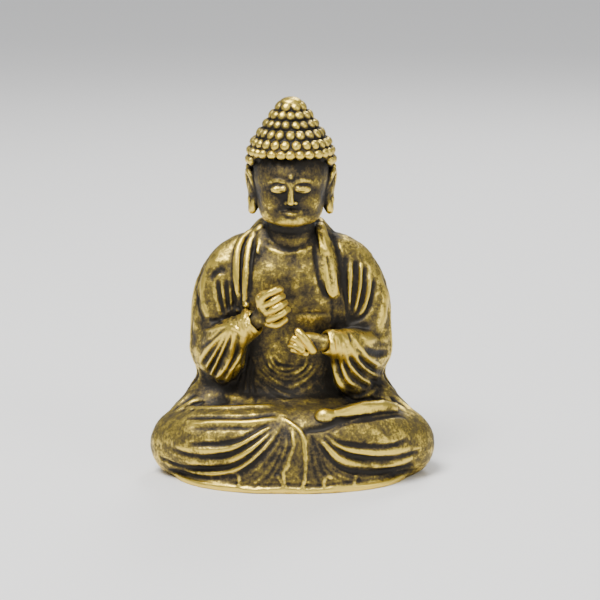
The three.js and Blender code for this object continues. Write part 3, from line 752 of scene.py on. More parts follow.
# %% Right knee
right_wraps = [
    [(-0.69, 0.50), (-0.58, 0.53), (-0.46, 0.55), (-0.34, 0.62), (-0.22, 0.72), (-0.12, 0.79)],
    [(-0.82, 0.40), (-0.70, 0.37), (-0.56, 0.37), (-0.42, 0.43), (-0.27, 0.58), (-0.12, 0.74)],
    [(-0.90, 0.24), (-0.76, 0.19), (-0.60, 0.21), (-0.43, 0.27), (-0.28, 0.43), (-0.12, 0.68)],
    [(-0.84, 0.09), (-0.66, 0.10), (-0.46, 0.15), (-0.30, 0.29), (-0.15, 0.52), (-0.08, 0.68)],
]
for line, depth in zip(right_wraps, (0.34, 0.42, 0.46, 0.34)):
    fold(lap_face, line, 0.42, -depth, taper=(0.15, 0.3))
for first, second in zip(right_wraps, right_wraps[1:]):
    middle = [(np.array(a) + b) / 2 for a, b in zip(first[1:], second[1:])]
    fold(lap_face, middle, 0.42, 0.22, taper=(0.3, 0.1))
tell("robe with the right knee's folds", clay, clay.form)

# %% Left knee
left_wraps = [
    [(0.26, 0.66), (0.34, 0.585), (0.51, 0.515), (0.68, 0.49), (0.80, 0.52)],
    [(0.24, 0.62), (0.37, 0.45), (0.52, 0.36), (0.72, 0.325), (0.88, 0.35)],
    [(0.20, 0.56), (0.29, 0.36), (0.44, 0.22), (0.64, 0.16), (0.84, 0.18)],
]
for line, depth in zip(left_wraps, (0.40, 0.46, 0.44)):
    fold(lap_face, line, 0.42, -depth, taper=(0.2, 0.15))
for first, second in zip(left_wraps, left_wraps[1:]):
    middle = [(np.array(a) + b) / 2 for a, b in zip(first, second)]
    fold(lap_face, middle, 0.40, 0.26, taper=(0.1, 0.3))
fold(lap_face, [(0.26, 0.69), (0.36, 0.765), (0.54, 0.785), (0.74, 0.76), (0.84, 0.66)], 0.36, -0.26,
     taper=(0.2, 0.3))
fold(lap_face, [(0.10, 0.71), (0.24, 0.745), (0.34, 0.80), (0.52, 0.85), (0.74, 0.84)], 0.5, -0.5,
     taper=(0.15, 0.3))
tell("robe with both knees' folds", clay, clay.form)

# %% [markdown]
# ### Apron and hem
#
# Below the crossed ankles the robe spreads in a fan. One pleat stands up sharply; the rest are faint.
# The hem is a thin rolled rim all round, and four pleats turn over it in small curls.

# %% Apron
fold(lap_face, [(-0.04, 0.82), (0.03, 0.75), (0.075, 0.68), (0.095, 0.54), (0.10, 0.34), (0.095, 0.18),
                (0.075, 0.06)],
     0.30, 0.40, taper=(0.1, 0.02))
fold(lap_face, [(0.01, 0.69), (0.02, 0.55), (-0.005, 0.42), (-0.02, 0.32), (-0.05, 0.26), (-0.04, 0.12),
                (-0.02, 0.05)],
     0.24, 0.22, taper=(0.1, 0.05))
folds(lap_face, [(-0.05, 0.76), (-0.13, 0.50), (-0.30, 0.22), (-0.52, 0.07)],
      [(-0.01, 0.72), (-0.03, 0.5), (-0.09, 0.26), (-0.16, 0.06)],
      5, 0.28, -0.11, taper=(0.1, 0.3), sway=0.01)
folds(lap_face, [(0.13, 0.62), (0.14, 0.46), (0.17, 0.26), (0.20, 0.08)],
      [(0.15, 0.66), (0.24, 0.44), (0.38, 0.24), (0.62, 0.09)],
      5, 0.28, -0.11, taper=(0.1, 0.3), sway=0.01)
tell("robe with its apron", clay, clay.form)

# %% Hem
rim = [(-0.84, 0.05), (-0.62, 0.045), (-0.44, 0.055), (-0.25, 0.04), (-0.05, 0.055), (0.16, 0.04),
       (0.36, 0.055), (0.60, 0.045), (0.84, 0.05)]
fold(lap_face, rim, 0.30, 0.34, taper=(0.1, 0.1))
fold(lap_face, [(u, v + 0.06) for u, v in rim], 0.26, -0.10, taper=(0.1, 0.1))
curls = [
    [(-0.40, 0.205), (-0.37, 0.215), (-0.35, 0.17), (-0.355, 0.06)],
    [(-0.12, 0.19), (-0.09, 0.205), (-0.065, 0.15), (-0.05, 0.06)],
    [(0.225, 0.07), (0.225, 0.15), (0.25, 0.20), (0.275, 0.18)],
    [(0.43, 0.08), (0.44, 0.15), (0.465, 0.185), (0.49, 0.16)],
]
for line in curls:
    fold(lap_face, line, 0.26, 0.28, taper=(0.1, 0.1))
tell("robe with its hem", clay, clay.form)

# %% [markdown]
# ### Back and sides
#
# The robe's loose end is thrown over the left shoulder and hangs down the back, and the cloth under it
# sweeps up from the right hip. These folds are plainer than the ones in front, as a founder's usually
# are.

# %% Across the back
folds(back, [(-0.80, 0.42), (-0.45, 0.52), (-0.05, 0.72), (0.22, 0.90)],
      [(-0.70, 0.06), (-0.20, 0.12), (0.30, 0.36), (0.62, 0.72)],
      6, 0.70, 0.17, taper=(0.35, 0.35), sway=0.02, seed=4)
folds(back, [(-0.76, 0.36), (-0.42, 0.46), (0.0, 0.67), (0.28, 0.86)],
      [(-0.66, 0.10), (-0.22, 0.17), (0.24, 0.38), (0.56, 0.70)],
      5, 0.46, -0.16, taper=(0.35, 0.35), sway=0.02, seed=5)
for level, drop in ((0.95, 0.05), (0.90, 0.06), (0.84, 0.07)):
    low = level - 0.7 * drop
    fold(back, [(-0.34, level), (-0.16, low), (0.0, level - drop), (0.16, low), (0.34, level)], 0.4, 0.16)
tell("robe with the folds across the back", clay, clay.form)

# %% The loose end, with its edges, its hem and its pleats
fold(back, [(0.24, 0.93), (0.22, 0.70), (0.20, 0.45), (0.21, 0.24)], 0.40, 0.38, "band", (0.1, 0.05))
fold(back, [(0.19, 0.90), (0.165, 0.65), (0.15, 0.42), (0.155, 0.22)], 0.34, -0.26, taper=(0.1, 0.1))
fold(back, [(0.50, 0.90), (0.56, 0.70), (0.56, 0.45), (0.53, 0.26)], 0.40, 0.34, "band", (0.1, 0.05))
fold(back, [(0.60, 0.80), (0.62, 0.62), (0.61, 0.42), (0.585, 0.26)], 0.34, -0.22, taper=(0.1, 0.1))
fold(back, [(0.20, 0.235), (0.28, 0.205), (0.34, 0.235), (0.42, 0.20), (0.48, 0.235), (0.54, 0.225)],
     0.34, 0.34, taper=(0.05, 0.05))
folds(back, [(0.29, 0.86), (0.29, 0.55), (0.28, 0.25)], [(0.44, 0.86), (0.48, 0.55), (0.47, 0.25)],
      3, 0.36, -0.20, seed=6)
tell("robe with its loose end", clay, clay.form)

# %% Sides and the rear of the lap
for side, flank in ((-1, right_flank), (1, left_flank)):
    folds(flank, [(-0.28, 0.74), (-0.20, 0.50), (-0.30, 0.26), (-0.20, 0.05)],
          [(0.55, 0.70), (0.66, 0.45), (0.60, 0.20), (0.70, 0.04)],
          5, 0.50, 0.20, sway=0.02, seed=7 + side)
    folds(flank, [(-0.16, 0.70), (-0.06, 0.46), (-0.14, 0.22), (-0.05, 0.04)],
          [(0.48, 0.66), (0.56, 0.42), (0.52, 0.20), (0.60, 0.04)],
          4, 0.42, -0.20, sway=0.02, seed=9 + side)
    # The thighs' cloth, drawn round the knees.
    folds(lap_above, [(side * 0.92, 0.10), (side * 0.80, 0.34), (side * 0.60, 0.62)],
          [(side * 0.80, 0.06), (side * 0.70, 0.24), (side * 0.60, 0.40)],
          3, 0.6, 0.14, seed=11 + side)
    folds(lap_rear, [(side * 0.80, 0.62), (side * 0.66, 0.50), (side * 0.50, 0.30)],
          [(side * 0.84, 0.26), (side * 0.72, 0.20), (side * 0.62, 0.10)],
          3, 0.45, -0.24, seed=13 + side)
folds(lap_rear, [(-0.52, 0.80), (-0.26, 0.66), (0.0, 0.60), (0.26, 0.66), (0.52, 0.80)],
      [(-0.50, 0.34), (-0.26, 0.24), (0.0, 0.20), (0.26, 0.24), (0.50, 0.34)],
      4, 0.60, 0.17, taper=(0.35, 0.35), sway=0.02, seed=15)
folds(lap_rear, [(-0.50, 0.72), (-0.26, 0.58), (0.0, 0.52), (0.26, 0.58), (0.50, 0.72)],
      [(-0.46, 0.40), (-0.26, 0.31), (0.0, 0.27), (0.26, 0.31), (0.46, 0.40)],
      3, 0.42, -0.16, taper=(0.35, 0.35), sway=0.02, seed=16)
fold(lap_rear, rim, 0.30, 0.34, taper=(0.1, 0.1))
tell("robe with all its folds", clay, clay.form)

# %% [markdown]
# ## The head
#
# The head is small and full of detail, so it gets its own block of finer clay. The skull is one egg
# with another for the forehead and one for the jaw; the neck slopes back into the collar. Long ear
# lobes belong to every Buddha figure. Heights are measured from the chin, in the units of a head 9.6 mm
# wide.

# %% The head's block
head_low, head_high = cad_box("head_casting")
hair_low, hair_high = cad_box("hair_cap")
jewel_low, jewel_high = cad_box("crown_jewel")
head_y = (head_low[1] + head_high[1]) / 2
size = head_high[0] / 4.8  # all lengths on the head are for a head 9.6 mm wide
chin = 0.293 * head_low[2] + 0.707 * hair_low[2] - 0.45
third = 2.3 * size  # of the face

head = Clay(
    [-head_high[0] - 0.7, head_low[1] - 0.9, head_low[2] + 0.6],
    [head_high[0] + 0.7, hair_high[1] + 0.6, jewel_high[2] + 0.5],
    0.078,
)
print(f"head block: {head.form.shape}, chin at {chin:.2f} mm, hairline at {chin + 3 * third:.2f} mm")


def on_head(x, y, z):
    """A place measured from the middle of the head, at the level of the chin."""
    return np.array((x * size, head_y + y * size, chin + z * size))


def joint(x, y, z, radius):
    return (*on_head(x, y, z), radius * size)


# %% Skull
def make_skull():
    form = oval(head, on_head(0, 0.35, 5.2), (3.95 * size, 4.35 * size, 4.0 * size))
    form = oval(head, on_head(0, -0.85, 4.6), (3.45 * size, 3.35 * size, 2.7 * size), None, form, 0.8)
    form = oval(head, on_head(0, -0.9, 2.75), (3.2 * size, 2.9 * size, 2.6 * size), None, form, 0.9)
    for side in (-1, 1):
        cheek = on_head(side * 1.55, -2.35, 2.35)
        oval(head, cheek, (1.4 * size, 1.25 * size, 1.45 * size), None, form, 0.8)
        limb(head, [joint(side * 2.75, 0.0, 2.2, 0.75), joint(side * 2.2, -1.6, 1.0, 0.85),
                    joint(0.7 * side, -2.9, 0.7, 0.85)], form, 0.9)
    oval(head, on_head(0, -3.05, 0.72), (1.0 * size, 0.8 * size, 0.72 * size), None, form, 0.5)
    return form


skull = make_skull()
tell("skull", head, skull)


# %% Neck
def make_neck():
    front = limb(head, [joint(0, 0.3, 3.0, 2.25), joint(0, 0.15, 0.6, 2.2), joint(0, 0.15, -1.6, 2.55)])
    rear = [joint(0, 1.2, 2.6, 2.0), joint(0, 1.3, 0.6, 2.1), joint(0, 1.35, -1.6, 2.5)]
    return limb(head, rear, front, 0.9)


skull = soft_union(skull, make_neck(), 0.9)
tell("skull and neck", head, skull)


# %% Ears
def add_ear(form, side):
    """A bowl with a rolled rim, and the long lobe below it."""
    bowl = np.diag((0.93, 1, 1))
    oval(head, on_head(side * 3.75, 0.75, 3.6), (0.75 * size, 1.05 * size, 1.45 * size), bowl, form, 0.3)
    rim = [
        (3.55, -0.15, 3.2, 0.26), (3.9, -0.25, 4.1, 0.30), (4.25, 0.1, 4.95, 0.34), (4.45, 0.85, 5.15, 0.36),
        (4.5, 1.5, 4.6, 0.36), (4.4, 1.6, 3.7, 0.34), (4.2, 1.2, 2.8, 0.34), (4.15, 0.8, 2.1, 0.36),
    ]
    limb(head, [joint(side * x, y, z, r) for x, y, z, r in rim], form, 0.16)
    lobe = [(3.6, 0.1, 2.9, 0.30), (3.85, 0.0, 2.0, 0.34), (4.0, 0.15, 1.2, 0.42), (4.1, 0.5, 1.1, 0.40),
            (4.15, 0.8, 2.1, 0.34)]
    limb(head, [joint(side * x, y, z, r) for x, y, z, r in lobe], form, 0.3)
    limb(head, [joint(side * 3.45, 0.45, 2.4, 0.55), joint(side * 3.75, 0.45, 1.4, 0.34)], form, 0.3)


for side in (-1, 1):
    add_ear(skull, side)
tell("with both ears", head, skull)

# %% [markdown]
# ### Face
#
# The face is a calm one on the proportions that any drawing book gives: hairline, brow, nose and chin a
# third of the face apart, and the mouth as wide as the space between the pupils. The eyes are nearly
# closed and look down. The sockets are pressed in first, then nose and eyeballs are added, then lids,
# brows and lips are drawn.

# %% Places on the face
def face_point(x, z):
    """A place on the front of the face."""
    return carry(head, [on_head(x, -9, z)], (0, 1, 0))[0]


def face_line(points, width, height, kind="round", taper=(0.3, 0.3)):
    starts = [on_head(x, -9, z) for x, z in spline(points, 0.1)]
    stroke(head, carry(head, starts, (0, 1, 0)), width * size, height * size, kind, taper)


head.form = skull
brow, eye, nose, mouth = (level / 2.2 * third / size for level in (4.4, 3.72, 2.2, 1.42))
print(f"above the chin: mouth {mouth:.2f}, nose {nose:.2f}, eyes {eye:.2f}, brow {brow:.2f}")

# %% Sockets, nose and eyeballs
for side in (-1, 1):
    dab(head, face_point(side * 1.25, eye + 0.05), (1.15 * size, 1.0 * size, 0.62 * size), 0.42)
    dab(head, face_point(side * 0.72, eye + 0.1), (0.5 * size, 0.8 * size, 0.5 * size), 0.30)
nose_top = (*(face_point(0, brow - 0.25) + (0, 0.10, 0)), 0.27 * size)
nose_tip = (*(face_point(0, nose + 0.28) + (0, -0.42 * size, 0)), 0.36 * size)
nose_middle = (*((np.array(nose_top[:3]) + nose_tip[:3]) / 2), 0.27 * size)
limb(head, [nose_top, nose_middle, nose_tip], head.form, 0.32)
for side in (-1, 1):
    wing = face_point(side * 0.46, nose + 0.16)
    oval(head, wing + (0, -0.02, 0), (0.27 * size, 0.36 * size, 0.24 * size), None, head.form, 0.18)
    eyeball = face_point(side * 1.27, eye) + (0, 0.53 * size, 0)
    oval(head, eyeball, (0.78 * size, 0.62 * size, 0.46 * size), None, head.form, 0.12)
print(f"the nose stands {face_point(0.8, nose + 0.28)[1] - nose_tip[1] + nose_tip[3]:.2f} mm before the cheek")

# %% Lids, brows and nostrils
LID = ((0.62, -0.02), (0.95, -0.13), (1.3, -0.17), (1.65, -0.12), (2.0, 0.05))
UPPER_LID = ((0.60, 0.17), (0.95, 0.37), (1.35, 0.42), (1.75, 0.33), (2.1, 0.1))
BROW = ((0.22, -0.28), (0.62, 0.02), (1.2, 0.20), (1.85, 0.10), (2.4, -0.25))
for side in (-1, 1):
    lid = [(side * x, eye + z) for x, z in LID]
    face_line(lid, 0.17, -0.13, "crease", (0.1, 0.1))
    face_line([(x, z + 0.10) for x, z in lid], 0.17, 0.07)
    face_line([(x, z - 0.14) for x, z in lid], 0.17, 0.05)
    face_line([(side * x, eye + z) for x, z in UPPER_LID], 0.14, -0.07)
    face_line([(side * x, brow + z) for x, z in BROW], 0.34, 0.17, taper=(0.3, 0.5))
    face_line([(side * 0.40, nose + 0.02), (side * 0.20, nose - 0.06)], 0.13, -0.14)
    dab(head, face_point(side * 1.05, mouth - 0.02), 0.3 * size, 0.12)
tell("head with its eyes and brows", head, head.form)

# %% Mouth, chin and the mark between the brows
for level, half, drop in ((mouth + 0.13, 0.92, 0.10), (mouth - 0.19, 0.72, -0.10)):
    lip = []
    for x in (-1, -0.5, -0.12, 0, 0.12, 0.5, 1):
        dip = 0.05 if level > mouth and abs(x) < 0.05 else 0
        where = face_point(x * half, level - drop * abs(x) ** 1.5 - dip)
        lip.append((*(where + (0, 0.04, 0)), (0.22 if level > mouth else 0.25) * (1 - 0.55 * x * x) * size))
    limb(head, lip, head.form, 0.12)
parting = [(x, mouth + z) for x, z in ((-1.0, 0.05), (-0.5, -0.02), (0, -0.05), (0.5, -0.02), (1.0, 0.05))]
face_line(parting, 0.14, -0.15, "crease", (0.1, 0.1))
face_line([(0, nose - 0.12), (0, mouth + 0.36)], 0.18, -0.09)
face_line([(-0.55, mouth - 0.56), (0, mouth - 0.62), (0.55, mouth - 0.56)], 0.3, -0.12)
dab(head, face_point(0, brow + 0.62), 0.36 * size, 0.16)  # the dot between the brows
tell("head with its face", head, head.form)

# %% Lines round the neck
for level in (-0.35, -0.95):
    ring = []
    for angle in np.linspace(-1.3, 1.3, 15):
        start = on_head(9 * math.sin(angle), -9 * math.cos(angle), level + 0.25 * (1 - math.cos(angle)))
        inward = (on_head(0, 0.15, 0) - start) * (1, 1, 0)
        ring.append(carry(head, [start], inward / np.linalg.norm(inward))[0])
    stroke(head, ring, 0.2, -0.10, "crease")
skull = head.form
tell("head", head, skull)

# %% [markdown]
# ## The curls
#
# Each curl of a Buddha's hair is a small bead. The founder's model has them in rings, each ring set
# half a bead off the one below. A cap carries them, with a bump at the back of the crown, and a plain
# button sits on top. The beads could be one mesh placed many times, but as eggs in the same clay they
# melt into the cap as cast ones do.

# %% Where the hair ends
CURL, RING = 1.04, 0.92  # from one bead to the next, and from one ring to the next
hairline = chin + 3 * third


def hair_level(y):
    """How low the hair comes, from the forehead over the ears to the nape."""
    return np.interp(y, np.array((-4.2, -2.0, -0.6, 0.6, 1.6, 5.5)) * size + head_y,
                     np.array((0.0, -0.35, -1.5, -1.6, -3.3, -4.4)) * size + hairline)


print("the hair ends at", np.round([hair_level(y) for y in (-4, 0, 4)], 1), "mm, from front to back")

# %% Cap
cap = stack(head, [
    (hairline - 5.2 * size, 3.3 * size, 3.8 * size, head_y + 0.75 * size),
    (hairline - 3.0 * size, 4.05 * size, 4.45 * size, head_y + 0.65 * size),
    (hairline - 1.0 * size, 4.4 * size, 4.75 * size, head_y + 0.55 * size),
    (hairline + 0.3 * size, 4.3 * size, 4.7 * size, head_y + 0.5 * size),
    (hairline + 1.1 * size, 4.05 * size, 4.45 * size, head_y + 0.5 * size),
    (hairline + 2.0 * size, 3.45 * size, 3.85 * size, head_y + 0.55 * size),
    (hairline + 3.0 * size, 2.70 * size, 2.95 * size, head_y + 0.7 * size),
    (hairline + 3.9 * size, 2.15 * size, 2.30 * size, head_y + 0.75 * size),
    (hairline + 4.8 * size, 1.45 * size, 1.55 * size, head_y + 0.6 * size),
    (hairline + 5.5 * size, 0.9 * size, 0.9 * size, head_y + 0.5 * size),
])
lowest = hair_level(head.axes[1])[None, :, None] - head.axes[2][None, None, :]
cap = -soft_union(-cap, -(lowest + 0.38 * size).astype(np.float32) + 0 * cap, 0.3)
tell("cap", head, cap)

# %% Curls
cap_form = cap.copy()
chance = np.random.default_rng(3)
middle_y = head_y + 0.5 * size
count = 0
for ring in range(-5, 6):
    z = hairline + (0.48 + RING * ring) * size
    radius = np.mean(np.abs(carry(head, [(9, middle_y, z)], (-1, 0, 0), cap_form)[0][0]))
    beads = max(5, round(2 * math.pi * (radius + 0.15 * size) * 1.04 / (CURL * size)))
    for i in range(beads):
        angle = 2 * math.pi * (i + 0.5 * (ring % 2)) / beads + chance.uniform(-0.02, 0.02)
        outward = np.array((math.sin(angle), -math.cos(angle), 0))
        spot = carry(head, [np.array((0, middle_y, z)) + 9 * outward], -outward, cap_form)[0]
        if z < hair_level(spot[1]) + 0.3 * size:
            continue
        normal = normals(head, spot[None], cap_form)[0]
        lean = max(0.55, math.hypot(normal[0], normal[1]))
        across = np.cross((0, 0, 1), normal)
        across /= np.linalg.norm(across)
        turn = (across, np.cross(normal, across), normal)
        width = 0.50 * 2 * math.pi * (radius + 0.2 * size) * 1.04 / beads * chance.uniform(0.96, 1.04)
        height = 0.49 * RING * size / lean * chance.uniform(0.96, 1.04)
        oval(head, spot - 0.03 * normal, (width, height, 0.46 * size), turn, cap, 0.05)
        count += 1
print(count, "curls")

# %% Crown button
crown_y = (jewel_low[1] + jewel_high[1]) / 2
button = oval(head, (0, crown_y, jewel_high[2] - 0.68 * size), (1.2 * size, 1.2 * size, 0.66 * size))
tell("crown button", head, button)

# %% [markdown]
# ## Hands and foot
#
# The right hand is raised in a loose fist with its back to the viewer's left, the left hand lies below
# it with one finger pointing up. The founder's fingers are plain rolls. Of the legs only the right foot
# shows, a rounded knob with a ridge that runs back under the sleeve.

# %% The hands' block
FINE = head.grain
hand_boxes = {-1: cad_box("right_hand"), 1: cad_box("left_hand")}
hand_middle = {side: (low + high) / 2 for side, (low, high) in hand_boxes.items()}
hands = Clay(
    np.minimum(hand_boxes[-1][0], hand_boxes[1][0]) - 0.7,
    np.maximum(hand_boxes[-1][1], hand_boxes[1][1]) + (0.7, 1.4, 0.7),
    FINE,
)


def rolls(form, centre, fingers, fillet):
    """Fingers, each a limb whose joints are given from the middle of the hand."""
    for finger in fingers:
        alone = limb(hands, [(*(centre + place), radius) for *place, radius in finger])
        form = soft_union(form, alone, fillet)
    return form


print("hands block:", hands.form.shape, "grid points")


# %% Right hand
def make_right_hand():
    centre = hand_middle[-1] + (0.75, 0, 0.5)
    lean = np.array(((0.87, 0, 0.5), (0, 1, 0), (-0.5, 0, 0.87)))
    palm = oval(hands, centre + (-0.3, 0.35, -0.3), (1.25, 0.95, 1.85), lean)
    palm = oval(hands, centre + (-0.95, -0.25, -0.2), (0.62, 0.85, 1.45), lean, palm, 0.5)
    wrist = [(*(cuffs[-1] + (-0.5, 0.5, -0.2)), 0.85), (*(cuffs[-1] + (0.5, 0.0, 0.35)), 0.84),
             (*(centre + (-0.6, 0.5, -0.6)), 0.95)]
    palm = limb(hands, wrist, palm, 0.5)
    fingers = [
        [(-1.35, -0.35, -0.15, 0.34), (-1.0, -0.85, 0.9, 0.37), (-0.15, -1.05, 1.52, 0.37),
         (0.6, -0.7, 1.72, 0.34), (0.75, -0.1, 1.5, 0.33)],
        [(-0.85, -0.85, 0.05, 0.34), (-0.1, -1.25, 0.52, 0.36), (0.55, -1.05, 0.90, 0.35),
         (0.95, -0.4, 0.95, 0.33)],
        [(-0.65, -0.80, -0.70, 0.34), (0.10, -1.25, -0.25, 0.37), (0.80, -1.05, 0.12, 0.36),
         (1.2, -0.4, 0.2, 0.33)],
        [(-0.50, -0.70, -1.50, 0.34), (0.35, -1.10, -1.05, 0.38), (1.10, -0.90, -0.62, 0.37),
         (1.5, -0.3, -0.5, 0.33)],
    ]
    palm = rolls(palm, centre, fingers, 0.16)
    heel = [(-0.6, -0.1, -1.9, 0.45), (0.3, -0.4, -2.05, 0.42), (1.2, -0.2, -1.6, 0.36)]
    return rolls(palm, centre, [heel], 0.3)


right_hand = make_right_hand()
tell("right hand", hands, right_hand)


# %% Left hand
def make_left_hand():
    centre = hand_middle[1] + (-0.9, 0.1, -0.45)
    palm = oval(hands, centre + (0.35, 0.25, -0.15), (1.6, 0.9, 1.0))
    wrist = [(*(cuffs[1] + (0.5, 0.5, -0.1)), 0.85), (*(cuffs[1] + (-0.5, -0.1, 0.0)), 0.84),
             (*(centre + (0.9, 0.3, -0.2)), 0.9)]
    palm = limb(hands, wrist, palm, 0.5)
    fingers = [
        [(-0.45, -0.95, 1.25, 0.40), (-0.10, -1.15, 0.95, 0.44), (0.40, -1.2, 0.30, 0.46),
         (1.0, -0.85, -0.75, 0.48)],
        [(-1.05, -0.35, 0.05, 0.32), (-0.90, -0.85, 0.50, 0.34), (-0.45, -0.95, 0.25, 0.34),
         (0.1, -0.95, -0.20, 0.34)],
        [(-1.25, -0.35, -0.35, 0.32), (-0.75, -0.85, -0.30, 0.34), (0.0, -0.95, -0.75, 0.34)],
        [(-0.95, -0.30, -0.85, 0.32), (-0.35, -0.70, -0.90, 0.33), (0.35, -0.7, -1.15, 0.32)],
    ]
    return rolls(palm, centre, fingers, 0.16)


left_hand = make_left_hand()
tell("left hand", hands, left_hand)

# %% [markdown]
# ### An uneven surface
#
# A casting from a hand-worked wax is never quite smooth. A small block with coarse grain holds a random
# number at each grid point; read in between and added to a form, it makes low lumps as wide as the
# coarse grain. The same reading between grid points later carries forms from one block to another.

# %% From block to block
def carried_over(source, field, target):
    """The part of the target block that the source covers, and the source's field read at its points."""
    part, _ = target.window(*source.corners())
    for axis in range(3):
        places = target.axes[axis][part[axis]]
        at = np.clip((places - source.axes[axis][0]) / source.grain, 0, field.shape[axis] - 1.001)
        first = at.astype(int)
        share = (at - first).astype(np.float32).reshape([-1 if a == axis else 1 for a in range(3)])
        field = np.take(field, first, axis) * (1 - share) + np.take(field, first + 1, axis) * share
    return part, field


def roughen(block, form, amount, size_of_lumps, seed):
    """A form with the slight unevenness of a hand-worked surface."""
    low, high = (np.array(corner) for corner in block.corners())
    lumps = Clay(low - 2 * size_of_lumps, high + 2 * size_of_lumps, size_of_lumps)
    field = np.random.default_rng(seed).normal(0, amount, lumps.form.shape).astype(np.float32)
    return form + carried_over(lumps, field, block)[1]


right_hand, left_hand = (roughen(hands, form, 0.022, 0.45, 11) for form in (right_hand, left_hand))
tell("right hand, roughened", hands, right_hand)

# %% Foot
foot_low, foot_high = cad_box("right_foot")
ground = Clay(foot_low - (1.2, 1.3, 2.0), foot_high + (1.0, 1.0, 1.2), FINE)
toes = foot_low + (0.98, 1.0, 0.85)
foot = limb(ground, [
    (*(toes + (0.1, 0.1, -0.15)), 0.78),
    (*(toes + (1.2, 0.50, -0.12)), 0.66),
    (*(toes + (2.6, 1.15, -0.02)), 0.76),
    (*(toes + (4.2, 1.95, 0.12)), 0.90),
    (*(toes + (6.0, 3.0, 0.02)), 0.80),
    (foot_high[0] - 0.9, foot_high[1] - 0.7, foot_high[2] - 1.75, 0.6),
])
oval(ground, toes + (-0.02, -0.05, -0.02), (0.98, 0.88, 0.74), None, foot, 0.5)
limb(ground, [(*(toes + (0.6, 0.8, -0.4)), 0.7), (*(toes + (2.8, 2.2, -0.3)), 0.9),
              (*(toes + (5.4, 3.6, -0.35)), 0.8)], foot, 0.5)
limb(ground, [(*(toes + (1.3, 0.2, 0.25)), 0.25), (*(toes + (3.2, 1.1, 0.48)), 0.4),
              (*(toes + (5.0, 2.1, 0.55)), 0.3)], foot, 0.35)
ground.form = foot
for share in (-0.35, 0.0, 0.33):
    line = carry(ground, [toes + (share, -5, z) for z in (0.45, 0.15, -0.15, -0.5)], (0, 1, 0))
    stroke(ground, line, 0.14, -0.09, "crease", (0.3, 0.3))
stroke(ground, carry(ground, [toes + (x, -5, 0.2 - 0.03 * x) for x in (0.9, 2.2, 3.6, 5.0)], (0, 1, 0)),
       0.4, 0.12)
foot = roughen(ground, ground.form, 0.04, 0.7, 9)
tell("foot", ground, foot)

# %% [markdown]
# ## From clay to castings
#
# The whole figure is roughened once, so that the lumps run on across the seams. Then each casting is
# cut out of it. Hands, foot and neck end where the robe begins. Within the robe, a point belongs to the
# piece whose own plain form is nearest, so the seams fall in the creases. The pieces lap over each
# other by a hair, so that no crack shows. The cut could also be made with boolean modifiers, but on
# this many folds they are slow and often fail.

# %% The whole figure
clay.form = roughen(clay, roughen(clay, clay.form, 0.035, 0.9, 5), 0.022, 0.4, 6)
cap = roughen(head, cap, 0.020, 0.45, 7)
skull = roughen(head, skull, 0.012, 0.5, 8)
clay.form = np.maximum(clay.form, -clay.axes[2][None, None, :])
robe = clay.form
tell("whole robe, roughened", clay, robe)

# %% Hands, foot, head and hair
SEAM = 0.06  # how far neighbours lap over each other, in mm
cut_pieces = {}
for name, block, form in (
    ("head_casting", head, skull), ("right_hand", hands, right_hand),
    ("left_hand", hands, left_hand), ("right_foot", ground, foot),
):
    part, under = carried_over(clay, robe, block)
    piece = form.copy()
    piece[part] = np.maximum(piece[part], -under - SEAM)
    cut_pieces[name] = piece
cut_pieces["right_hand"] = np.maximum(cut_pieces["right_hand"], -left_hand)
cut_pieces["crown_jewel"] = button
cut_pieces["hair_cap"] = np.maximum(np.maximum(cap, -skull), -button)
print("cut so far:", ", ".join(cut_pieces))

# %% Body, lap, sleeves and the robe's edge
own = {
    "body_casting": np.maximum(trunk, seat + 0.2 - clay.axes[2][None, None, :]),
    "lap_casting": np.minimum(lap, 0.6),
    "right_sleeve": sleeves[-1],
    "left_sleeve": sleeves[1],
    "robe_edge_band": limb(clay, [(*point, 0.62) for point in band_path]),
}
robe_pieces = {}
for name, form in own.items():
    nearest = np.min([other for key, other in own.items() if key != name], axis=0)
    robe_pieces[name] = np.maximum(robe, (form - nearest) / 2 - SEAM)
print("cut from the robe:", ", ".join(robe_pieces))

# %% The recess for the base plate
x, y, z = clay.window(*clay.corners())[1]
plate_high = cad_box("base_plate")[1]
recess_x, recess_y = plate_high[0] + 0.06, plate_high[1] + 0.06
inside_plate = (np.sqrt((x / recess_x) ** 2 + (y / recess_y) ** 2) - 1) * recess_y
recess = np.maximum(inside_plate, z - plate_high[2] - 0.04)
robe_pieces["lap_casting"] = np.maximum(robe_pieces["lap_casting"], -recess)
tell("lap casting", clay, robe_pieces["lap_casting"])

# %% [markdown]
# ## Wear and painted shade
#
# Handling polishes what stands out and leaves what lies deep. If the figure's distances are blurred a
# little, the result is positive on a ridge and negative in a groove; blurred more, it tells whether a
# place is sheltered by its surroundings. Sheltered places are darkened both as patina and as painted
# shade, which stands in for the shade in hollows and between parts. Both numbers go on the mesh, and
# the brass uses them later.

# %% Blurring
def blurred(field, radius, grain):
    """The field averaged over boxes, twice along each axis, which is close to a soft round brush."""
    reach = max(1, round(radius / grain))
    for axis in (0, 1, 2, 0, 1, 2):
        padded = np.pad(field, [(reach + 1, reach) if a == axis else (0, 0) for a in range(3)], mode="edge")
        total = np.cumsum(padded, axis=axis, dtype=np.float32)
        places = np.arange(field.shape[axis])
        upper, lower = np.take(total, places + 2 * reach + 1, axis), np.take(total, places, axis)
        field = (upper - lower) / (2 * reach + 1)
    return field


point = np.zeros((9, 9, 9), np.float32)
point[4, 4, 4] = 1
print(f"blurred by one step, a lone point keeps {blurred(point, 1, 1)[4, 4, 4]:.3f} of its height")

# %% What surrounds each block
BLOCKS = [
    (clay, robe), (head, np.minimum(np.minimum(skull, cap), button)),
    (hands, np.minimum(right_hand, left_hand)), (ground, foot),
]


